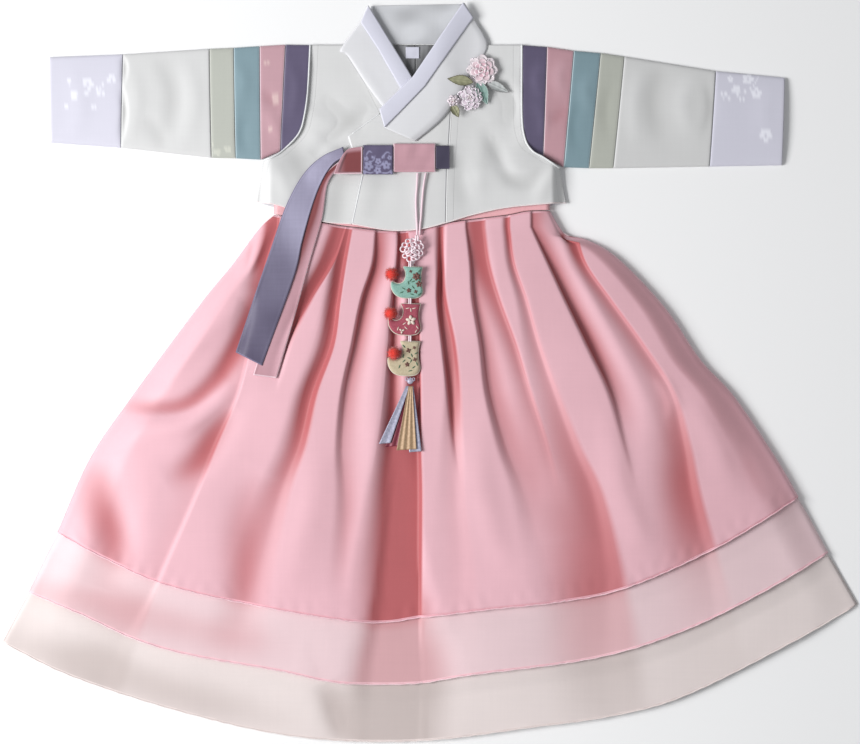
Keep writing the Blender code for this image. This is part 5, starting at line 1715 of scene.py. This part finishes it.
@dataclass(frozen=True)
class Boot:
    """A little felt boot with its toe to the left: its box, its pompom's place, and its finishes.

    Each stitched flower has its place as shares of the box, its radius and its number of petals, and
    each stitched leaf its place and its turn.
    """

    name: str
    left: float
    right: float
    low: float
    high: float
    pompom: tuple[float, float]
    body: Finish
    flower: Finish
    leaf: Finish
    flowers: tuple[tuple[float, float, float, int], ...]
    leaves: tuple[Place, ...]

    def at(self, across: float, up: float) -> tuple[float, float]:
        """A place from its shares of the box."""
        return self.left + (self.right - self.left) * across, self.low + (self.high - self.low) * up


CORD_ROUTES = {"left": [(-12, 192), (-12.5, 180), (-13.5, 165), (-13, 150), (-12.5, 141), (-12.5, 132)],
               "right": [(-4, 192), (-6, 180), (-7.5, 165), (-8.5, 150), (-9.5, 141), (-10, 132)]}
# A boot's edges as shares of its box: down its back and along its sole, and down its front to the toe.
BOOT_OUTER = [(1.0, 0.98), (0.95, 0.75), (0.95, 0.48), (1.0, 0.22), (0.92, 0.06), (0.75, 0.0), (0.5, 0.0),
              (0.28, 0.03), (0.12, 0.13), (0.02, 0.3), (0.0, 0.47)]
BOOT_INNER = [(0.38, 1.0), (0.45, 0.85), (0.46, 0.7), (0.42, 0.56), (0.33, 0.48), (0.22, 0.46),
              (0.12, 0.49), (0.05, 0.52), (0.01, 0.5)]
BOOTS = (
    Boot("mint", -37.5, -7, 71, 101.5, (-36.9, 94.1), Finish.MINT, Finish.THREAD_DARK, Finish.THREAD_GREEN,
         ((0.80, 0.68, 4.0, 6), (0.88, 0.44, 3.2, 5), (0.56, 0.24, 2.4, 5), (0.62, 0.84, 1.6, 4),
          (0.78, 0.20, 2.0, 4)),
         ((0.62, 0.56, 0.9), (0.70, 0.34, 2.2), (0.93, 0.60, 1.2), (0.90, 0.12, 0.5), (0.40, 0.30, 2.6),
          (0.55, 0.48, 1.8), (0.70, 0.52, 0.3), (0.66, 0.12, 2.9), (0.90, 0.86, 0.8), (0.34, 0.18, 0.4))),
    Boot("wine", -40, -9, 35.5, 66, (-37.8, 56.3), Finish.WINE, Finish.THREAD_CREAM, Finish.THREAD_CREAM,
         ((0.70, 0.46, 5.0, 5), (0.42, 0.13, 2.8, 3)),
         ((0.60, 0.84, 0.2), (0.70, 0.78, 1.7), (0.80, 0.84, 0.3), (0.86, 0.12, 1.0), (0.55, 0.22, 2.4),
          (0.50, 0.36, 0.6), (0.90, 0.24, 2.2), (0.30, 0.20, 1.2))),
    Boot("cream", -40.5, -9.5, -3.5, 30, (-34.5, 18.0), Finish.CREAM, Finish.THREAD_DARK,
         Finish.THREAD_GREEN,
         ((0.64, 0.72, 2.6, 4), (0.60, 0.32, 2.4, 5), (0.84, 0.46, 2.2, 4), (0.82, 0.80, 1.7, 4)),
         ((0.50, 0.42, 0.8), (0.74, 0.58, 1.9), (0.80, 0.24, 0.6), (0.50, 0.84, 2.3), (0.36, 0.26, 1.2),
          (0.66, 0.50, 2.7), (0.88, 0.64, 0.5), (0.70, 0.14, 0.2), (0.48, 0.56, 1.4), (0.90, 0.34, 2.0),
          (0.72, 0.42, 1.1))),
)


@dataclass
class Ornament:
    """The ornament that hangs from the ties: cords, flower knot, boots, pompoms and a ribbon tassel."""

    room: Workroom
    cord_reach: float = 3.0
    knot_centre: tuple[float, float] = (-17.0, 117.5)
    boot_thickness: float = 3.0
    pompom_radius: float = 6.0
    yarn_ends: int = 520
    link_x: float = -19.3
    tassel_top: float = -13.5

    def cords(self) -> list[tuple[bpy.types.Object, Array]]:
        """The two cords, from under the loop of the ties down to the knot."""
        made = []
        for side, route in CORD_ROUTES.items():
            x, y = np.array(route, float).T
            z = resting_level(x, y, self.cord_reach) + CORD_DIAMETER / 2 + SEAM_GAP
            path = through([tuple(place) for place in np.column_stack([x, y, z])], 24) * MM
            data = bpy.data.curves.new(f"ornament_cord_{side}_thread", "CURVE")
            data.dimensions = "3D"
            data.bevel_depth = CORD_DIAMETER / 2 * MM
            data.bevel_resolution = 3
            data.use_fill_caps = True
            spline = data.splines.new("POLY")
            spline.points.add(len(path) - 1)
            spline.points.foreach_set("co", np.column_stack([path, np.ones(len(path))]).ravel())
            data.materials.append(Finish.CORD_PINK.value.build())
            cord = bpy.data.objects.new(data.name, data)
            self.room.collection.objects.link(cord)
            self.room.declare(cord, f"ornament_cord_{side}")
            made.append((cord, path))
        return made

    def knot(self) -> bpy.types.Object:
        """A flower of small loops in three rings, with beads under it and two short cords over it."""
        x, y = self.knot_centre
        level = level_over(-28, -6, 102, 131)
        parts = []
        angle = np.linspace(0, math.tau, 22)
        draw = np.random.default_rng(3)
        for count, away, size, rise in ((3, 1.6, 2.2, 3.2), (7, 5.0, 2.5, 2.4), (11, 8.8, 2.5, 1.4)):
            for number in range(count):
                turn = math.tau * (number + 0.5 + draw.uniform(-0.2, 0.2)) / count
                radius, out = size * draw.uniform(0.8, 1.15), away * draw.uniform(0.88, 1.04)
                cx, cy = x + out * math.cos(turn), y + out * math.sin(turn) * 1.04
                tall = radius * draw.uniform(0.8, 1.1)
                path = np.column_stack([cx + radius * np.cos(angle), cy + tall * np.sin(angle),
                                        level + rise + 0.9 * np.sin(2 * angle + turn)])
                parts.append(thread_mesh(path, 0.78, 7))
        for number in range(3):
            parts.append(bead_mesh((x + 0.6 * math.cos(number * 3), 105.6 - 2.3 * number, level + 1.6), 2.0))
        for shift in (-1.1, 1.1):
            path = np.column_stack([np.full(6, x + 4.5 + shift), np.linspace(131.5, 126, 6),
                                    np.full(6, level + 2.2)])
            parts.append(thread_mesh(path, 0.9, 7))
        return self.room.trim("ornament_knot_loops", joined(parts), Finish.CORD_WHITE, "ornament_knot")

    def boot(self, boot: Boot) -> None:
        """A padded boot, a loft between its two edges with an arched face, and what is sewn on it: its
        edging, its flowers and leaves, and the link above it."""
        size = np.array([boot.right - boot.left, boot.high - boot.low])
        corner = np.array([boot.left, boot.low])
        outer = smooth_edge(BOOT_OUTER, 60) * size + corner
        inner = smooth_edge(BOOT_INNER, 60) * size + corner
        level = level_over(boot.left, boot.right, boot.low, boot.high)
        share = 0.5 - 0.5 * np.cos(np.linspace(0, math.pi, 18))
        plan = outer[:, None] + (inner - outer)[:, None] * share[None, :, None]
        width = np.linalg.norm(inner - outer, axis=1)[:, None]
        arch = half_round(np.minimum(share, 1 - share)[None] * width, 3.5)
        run = np.linspace(0, 1, 60)[:, None]
        arch = arch * half_round(run * 30, 1.0)
        face = np.dstack([plan, level + 0.6 + (self.boot_thickness - 0.6) * arch])
        under = np.dstack([plan, np.full(arch.shape, level)])[:, ::-1]
        charm = f"charm_{boot.name}"
        body = self.room.mesh(f"{charm}_felt", *loft_mesh(np.hstack([face, under])), boot.body)
        fix_outward(body)
        self.room.declare(body, charm)
        rim = np.vstack([outer, inner[::-1], outer[:1]])
        rim = np.column_stack([rim, np.full(len(rim), level + 0.9)])
        self.room.trim(f"{charm}_edging", thread_mesh(rim[::2], 0.5, 6), Finish.EDGING)
        flowers, leaves = self.embroidery(boot, level + self.boot_thickness)
        self.room.trim(f"{charm}_flowers", joined(flowers), boot.flower)
        self.room.trim(f"{charm}_leaves", joined(leaves), boot.leaf)
        path = np.column_stack([np.full(8, self.link_x), np.linspace(boot.high - 1.0, boot.high + 5.0, 8),
                                np.full(8, level + 1.2)])
        link = [thread_mesh(path + np.array([shift, 0, 0]), 0.75, 7) for shift in (-0.8, 0.8)]
        self.room.trim(f"{charm}_link", joined(link), Finish.CORD_WHITE)

    def embroidery(self, boot: Boot, level: float) -> tuple[list[Mesh], list[Mesh]]:
        """Stitches on a boot's face, at a height: its flowers' petals and its leaves."""
        flowers, leaves = [], []
        for across, up, radius, petals in boot.flowers:
            for number in range(petals):
                turn = math.tau * number / petals + 0.4
                flowers.append(petal_loop((*boot.at(across, up), level), turn, radius))
        run = np.linspace(-1, 1, 7)
        for across, up, turn in boot.leaves:
            x, y = boot.at(across, up)
            path = np.column_stack([x + 2.0 * run * math.cos(turn), y + 2.0 * run * math.sin(turn),
                                    level + 0.15 - 0.25 * run**2])
            leaves.append(thread_mesh(path, 0.42 * np.sqrt(np.clip(1.02 - run**2, 0, 1)) + 0.08, 6))
        return flowers, leaves

    def pompom(self, boot: Boot) -> None:
        """A fluffy ball: a core with a thin spike for each yarn end, flatter above and below."""
        x, y = boot.pompom
        radius, core = self.pompom_radius, 0.92 * self.pompom_radius
        centre = np.array([x, y, float(resting_level(np.array(x), np.array(y), radius)) + radius])
        draw = np.random.default_rng(len(boot.name) + 7)
        count = self.yarn_ends
        height = draw.uniform(-1, 1, count)
        turn = draw.uniform(0, math.tau, count)
        flat = np.sqrt(1 - height**2)
        out = np.column_stack([flat * np.cos(turn), flat * np.sin(turn), height])
        lean = out + draw.normal(0, 0.30, out.shape)
        lean /= np.linalg.norm(lean, axis=1, keepdims=True)
        length = radius * draw.uniform(0.95, 1.5, count) * (1 - 0.3 * np.abs(height))
        tip = centre + lean * length[:, None]
        root = centre + out * core * 0.9
        side = np.cross(out, [0.3, 0.5, 0.8])
        side /= np.linalg.norm(side, axis=1, keepdims=True)
        other = np.cross(out, side)
        corners = [root + 0.42 * (side * math.cos(angle) + other * math.sin(angle))
                   for angle in (0.0, math.tau / 3, 2 * math.tau / 3)]
        points = np.stack(corners + [tip], axis=1).reshape(-1, 3)
        first = np.arange(count)[:, None] * 4
        faces = np.vstack([first + np.array(face) for face in ((0, 1, 3), (1, 2, 3), (2, 0, 3), (0, 2, 1))])
        ball = bead_mesh(tuple(centre), core, 20, 12)
        self.room.trim(f"pompom_{boot.name}_yarn", joined([ball, (points, faces.tolist())]),
                       Finish.RED_YARN, f"pompom_{boot.name}")

    def ribbon(self, node: str, upper: tuple[float, float], lower: tuple[float, float], low: float,
               layer: float, pleats: int, finish: Finish, level: float) -> None:
        """A tassel ribbon, pleated lengthwise and fanned out, with a slanted end.

        Args:
            node: The solid that it stands for.
            upper: x of its two edges at the top.
            lower: x of its two edges at the end.
            low: y of its end.
            layer: How many ribbons it lies over.
            pleats: How many pleats it has.
            finish: Its finish.
            level: Height of the cloth under the tassel.
        """
        share = np.linspace(0, 1, 8 * pleats + 1)
        run = np.linspace(0, 1, 40)[:, None]
        x = (upper[0] + (upper[1] - upper[0]) * share) * (1 - run) \
            + (lower[0] + (lower[1] - lower[0]) * share) * run
        y = self.tassel_top + (low + share[None] - self.tassel_top) * run
        zigzag = np.abs(((share * pleats) % 1) - 0.5) * 2
        z = level + layer * 0.9 + 0.35 + zigzag[None] * (0.3 + 0.8 * run) + 0.3 * np.sin(run * 5)
        self.room.laid(node, np.dstack([x, y, z]), finish, ("skirt_outer",), held="hung", thickness=0.2)

    def tassel(self) -> None:
        """The bound knot above the tassel and its four ribbons."""
        level = level_over(-24, -14, -12, -5)
        parts = [bead_mesh((-19.0, -8.8, level + 1.6), 3.0, 14, 8, 0.5)]
        angle = np.linspace(0, math.tau, 18)
        for number in range(5):
            cx, cy = -22.2 + 1.6 * number, -7.0 - 1.4 * (number % 2)
            path = np.column_stack([cx + 1.2 * np.cos(angle), cy + 1.5 * np.sin(angle),
                                    level + 2.0 + 0.3 * np.sin(3 * angle)])
            parts.append(thread_mesh(path, 0.42, 6))
        self.room.trim("tassel_knot_thread", joined(parts), Finish.LILAC_RIBBON, "tassel_knot")
        level = level_over(-48, -8, -78, -13)
        for node, upper, lower, low, layer, pleats, finish in (
                ("tassel_ribbon_wine", (-20.5, -18.5), (-43, -30), -72, 0, 2, Finish.WINE_RIBBON),
                ("tassel_ribbon_silver", (-23, -19.5), (-49, -38), -69, 1, 1, Finish.SILVER_RIBBON),
                ("tassel_ribbon_white", (-18.5, -16), (-20, -8), -77, 1, 1, Finish.SILVER_RIBBON),
                ("tassel_ribbon_gold", (-20.5, -17), (-32, -13), -75, 2, 3, Finish.GOLD_RIBBON)):
            self.ribbon(node, upper, lower, low, layer, pleats, finish, level)

    def build(self) -> None:
        """Makes the cords first, then what hangs on them."""
        cords = self.cords()
        knot = self.knot()
        for boot in BOOTS:
            self.boot(boot)
            self.pompom(boot)
        self.tassel()


# ---------------------------------------------------------------- flowers on the chest

@dataclass(frozen=True)
class PetalRing:
    """A ring of petals: how many, how far out they start, their length, width, rise and lean."""

    count: int
    away: float
    length: float
    width: float
    rise: float
    lift: float


@dataclass
class Applique:
    """Organza flowers and leaves sewn on the chest, with pearls and clear sequins."""

    room: Workroom

    def level(self, x: float, y: float) -> float:
        """The cloth under a place."""
        return float(right_collar_cloth(np.array(x), np.array(y))) + SEAM_GAP

    def petals(self, centre: tuple[float, float], level: float, ring: PetalRing, start: float,
               rows: int = 9, columns: int = 9) -> tuple[Array, Array, Array]:
        """A ring of cupped petals: each is widest past its middle, rises from its root and curls up
        along its sides.

        Args:
            centre: The flower's middle.
            level: Height of its foot.
            ring: The ring's sizes.
            start: Turn of the first petal.
            rows: Points along a petal.
            columns: Points across a petal.

        Returns:
            Points, faces and each point's distance from its petal's rim.
        """
        run = np.linspace(0, 1, rows)[None, :, None]
        across = np.linspace(-1, 1, columns)[None, None, :]
        turn = (start + math.tau * np.arange(ring.count) / ring.count)[:, None, None]
        half = ring.width / 2 * np.sin(math.pi * (0.14 + 0.70 * run)) ** 0.7
        out = ring.away + ring.length * run * (1 - 0.22 * across**2)
        side = half * across
        z = level + ring.lift + ring.rise * np.sin(run * 2.3) + 0.22 * half * across**2
        x = centre[0] + out * np.cos(turn) - side * np.sin(turn)
        y = centre[1] + out * np.sin(turn) + side * np.cos(turn)
        points = np.stack([x, y, np.broadcast_to(z, x.shape)], axis=-1).reshape(-1, 3)
        one = cells(rows, columns)
        faces = (one[None] + (np.arange(ring.count) * rows * columns)[:, None, None]).reshape(-1, 4)
        rim = np.minimum(half * (1 - np.abs(across)), (1 - run) * ring.length) * np.ones_like(x)
        return points, faces, rim.ravel()

    @staticmethod
    def scattered(centre: tuple[float, float], spread: tuple[float, int], start: float, first: float,
                  top: float, fall: float) -> list[Place]:
        """Places spread evenly round a centre, as seeds in a flower's head.

        Args:
            centre: The middle.
            spread: How far out they reach, and how many there are.
            start: Turn of the first one.
            first: How far out the first one is, as a share of one place.
            top: Height at the middle.
            fall: How much lower they lie for each millimetre outwards.

        Returns:
            The places.
        """
        places = []
        for number in range(spread[1]):
            turn = number * GOLDEN_TURN + start
            away = spread[0] * math.sqrt((number + first) / spread[1])
            places.append((centre[0] + away * math.cos(turn), centre[1] + away * math.sin(turn),
                           top - fall * away))
        return places

    def flower(self, node: str, centre: tuple[float, float], rings: tuple[PetalRing, ...], finish: Finish,
               pearls: tuple[float, int], sequins: tuple[float, int]) -> None:
        """A flower of several rings of petals, a heart of pearls, and sequins between the petals.

        Args:
            node: The solid that it stands for.
            centre: Its middle.
            rings: Its rings of petals, from the outermost in, each paler than the next.
            finish: The petals' finish.
            pearls: How far out the pearls reach, and how many there are.
            sequins: The same for the sequins.
        """
        level = self.level(*centre) + 0.8
        points, faces, rims, pale, count = [], [], [], [], 0
        for number, ring in enumerate(rings):
            part, part_faces, rim = self.petals(centre, level, ring, number * 0.7)
            points.append(part)
            faces.append(part_faces + count)
            rims.append(rim)
            pale.append(np.full(len(part), max(0.0, 0.85 - 0.5 * number)))
            count += len(part)
        rim = np.concatenate(rims)
        fields = {"edge": rim, "run": rim, "painted_shade_and_tone": np.clip(0.5 - rim / 6, 0, 1),
                  "motif": np.concatenate(pale)}
        piece = self.room.mesh(f"{node}_petals", np.vstack(points), np.vstack(faces), finish, fields)
        wall = piece.modifiers.new("wall", "SOLIDIFY")
        wall.thickness = 0.2 * MM
        wall.offset = 0.0
        self.room.declare(piece, node)
        beads = [bead_mesh(place, 0.75, 8, 6)
                 for place in self.scattered(centre, pearls, 0.0, 0.3, level + 3.3, 0.15)]
        self.room.trim(f"{node}_pearls", joined(beads), Finish.PEARL)
        disc = np.array([[1.0, 0], [1.1, 0.12], [0.3, 0.45]])
        discs = [turned_mesh(disc, place, 9)
                 for place in self.scattered(centre, sequins, 0.5, 0.8, level + 2.4, 0.09)]
        self.room.trim(f"{node}_sequins", joined(discs), Finish.SEQUIN)

    def leaf(self, node: str, start: tuple[float, float], end: tuple[float, float], width: float,
             finish: Finish) -> None:
        """A pointed leaf with a raised rib, curled a little and with a toothed rim."""
        start, end = np.array(start), np.array(end)
        along = end - start
        length = np.linalg.norm(along)
        square = np.array([-along[1], along[0]]) / length
        run = np.linspace(0.01, 0.99, 40)[:, None]
        across = np.linspace(-1, 1, 17)[None]
        half = width / 2 * np.sin(math.pi * run**0.85) * (1 + 0.05 * np.sin(run * 60))
        side = half * across
        x = start[0] + along[0] * run + square[0] * side
        y = start[1] + along[1] * run + square[1] * side
        level = max(self.level(*(start + along * part)) for part in (0.0, 0.25, 0.5, 0.75, 1.0))
        rib = 0.5 * np.exp(-(side / 0.5) ** 2)
        curl = 0.12 * side**2 / max(width / 8, 0.5) + 0.3 * np.sin(run * 5)
        z = level + 0.9 + rib + curl + 0.12 * np.sin(run * 26 + np.abs(across) * 3)
        self.room.laid(node, np.dstack([x, y, z]), finish, (), held="", thickness=0.2, edges=Sewn.SIDES)

    def build(self) -> None:
        """Makes the leaves, then the flowers over them."""
        self.leaf("leaf_left", (42, 280), (16.5, 283.5), 10, Finish.LEAF)
        self.leaf("leaf_green", (46, 282), (55.5, 258.5), 11, Finish.LEAF_TEAL)
        self.leaf("leaf_grey", (54, 281), (77, 270.5), 9, Finish.LEAF_GREY)
        self.leaf("leaf_small", (21, 259), (28, 246), 8, Finish.LEAF)
        self.flower("flower_upper", (50.5, 292),
                    (PetalRing(8, 6.5, 9.0, 10.0, 0.8, 0.2), PetalRing(7, 4.0, 8.0, 8.6, 1.3, 0.8),
                     PetalRing(6, 1.6, 6.6, 7.0, 1.7, 1.3), PetalRing(4, 0.3, 4.2, 4.6, 2.2, 1.6)),
                    Finish.PETAL, (3.0, 9), (14.5, 44))
        self.flower("flower_lower", (38.5, 265),
                    (PetalRing(7, 4.6, 8.0, 8.6, 0.7, 0.2), PetalRing(6, 2.6, 6.6, 7.2, 1.2, 0.8),
                     PetalRing(5, 0.6, 4.8, 5.4, 1.7, 1.2)), Finish.PETAL_PALE, (2.4, 7), (12.0, 38))
        self.flower("flower_bud", (22.5, 262),
                    (PetalRing(6, 1.4, 4.6, 5.0, 0.8, 0.2), PetalRing(4, 0.2, 3.4, 3.6, 1.4, 0.8)),
                    Finish.PETAL, (1.4, 4), (5.2, 14))


# ---------------------------------------------------------------- studio

@dataclass
class Studio:
    """The pale floor, the soft light and the camera straight above the garment."""

    camera_height: float = 2.4
    view_width: float = 0.8342
    sensor: float = 36.0
    floor_size: float = 12.0
    floor_drop: float = 0.0004
    floor_colour: Colour = (0.93, 0.93, 0.935)
    key_place: Place = (-2.2, -0.12, 1.75)
    key_size: float = 1.3
    key_power: float = 92.0
    fill_place: Place = (1.6, -0.6, 2.2)
    fill_size: float = 2.2
    fill_power: float = 6.0
    sky: Colour = (0.96, 0.98, 1.0)
    sky_strength: float = 0.28

    def camera(self) -> None:
        """Looks straight down, as wide as the garment with a narrow margin."""
        data = bpy.data.cameras.new("camera")
        data.sensor_width = self.sensor
        data.lens = self.sensor * self.camera_height / self.view_width
        data.clip_end = 50.0
        made = bpy.data.objects.new("camera", data)
        made.location = (0.0, 0.0, self.camera_height)
        bpy.context.scene.collection.objects.link(made)
        bpy.context.scene.camera = made

    def light(self, name: str, place: Place, size: float, power: float) -> None:
        """A square soft light that faces the garment."""
        data = bpy.data.lights.new(name, "AREA")
        data.size = size
        data.energy = power
        made = bpy.data.objects.new(name, data)
        made.location = place
        away = np.array(place) / np.linalg.norm(place)
        made.rotation_euler = (math.acos(away[2]), 0.0, math.atan2(away[1], away[0]) + math.pi / 2)
        bpy.context.scene.collection.objects.link(made)

    def floor(self) -> None:
        """A plain pale floor just under the garment."""
        half = self.floor_size / 2
        corners = [(x * half, y * half, -self.floor_drop) for x, y in ((-1, -1), (1, -1), (1, 1), (-1, 1))]
        mesh = bpy.data.meshes.new("floor")
        mesh.from_pydata(corners, [], [(0, 1, 2, 3)])
        material, _, shader = blank_material("pale_floor")
        shader.inputs["Base Color"].default_value = (*self.floor_colour, 1)
        shader.inputs["Roughness"].default_value = 0.8
        mesh.materials.append(material)
        made = bpy.data.objects.new("floor", mesh)
        bpy.context.scene.collection.objects.link(made)

    def build(self) -> None:
        """Sets the light, the floor and plain colour management."""
        self.light("key", self.key_place, self.key_size, self.key_power)
        self.light("fill", self.fill_place, self.fill_size, self.fill_power)
        self.floor()
        world = bpy.data.worlds.new("room")
        world.use_nodes = True
        background = world.node_tree.nodes["Background"]
        background.inputs["Color"].default_value = (*self.sky, 1)
        background.inputs["Strength"].default_value = self.sky_strength
        scene = bpy.context.scene
        scene.world = world
        scene.view_settings.view_transform = "Standard"
        scene.view_settings.look = "None"
        scene.view_settings.exposure = 0.0


def main() -> None:
    """Sets up the camera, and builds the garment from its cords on."""
    logging.basicConfig(level=logging.INFO, format="%(name)s: %(message)s")
    studio = Studio()
    studio.camera()
    room = Workroom()
    Ornament(room).build()
    Skirt(room).build()
    Body(room).build()
    Collar(room).build()
    Sleeve(room, "left", LEFT_SLEEVE, LEFT_ARMHOLE,
           {"cuff": left_cuff_motif, "pink": left_rose_motif, "sage": left_sage_motif},
           LEFT_SLEEVE_CREASES).build()
    # The right sleeve is painted darker, as shade.
    Sleeve(room, "right", RIGHT_SLEEVE, RIGHT_ARMHOLE, {"cuff": right_cuff_motif}, RIGHT_SLEEVE_CREASES,
           shade=0.2).build()
    Ties(room).build()
    Applique(room).build()
    studio.build()


if __name__ == "__main__":
    main()
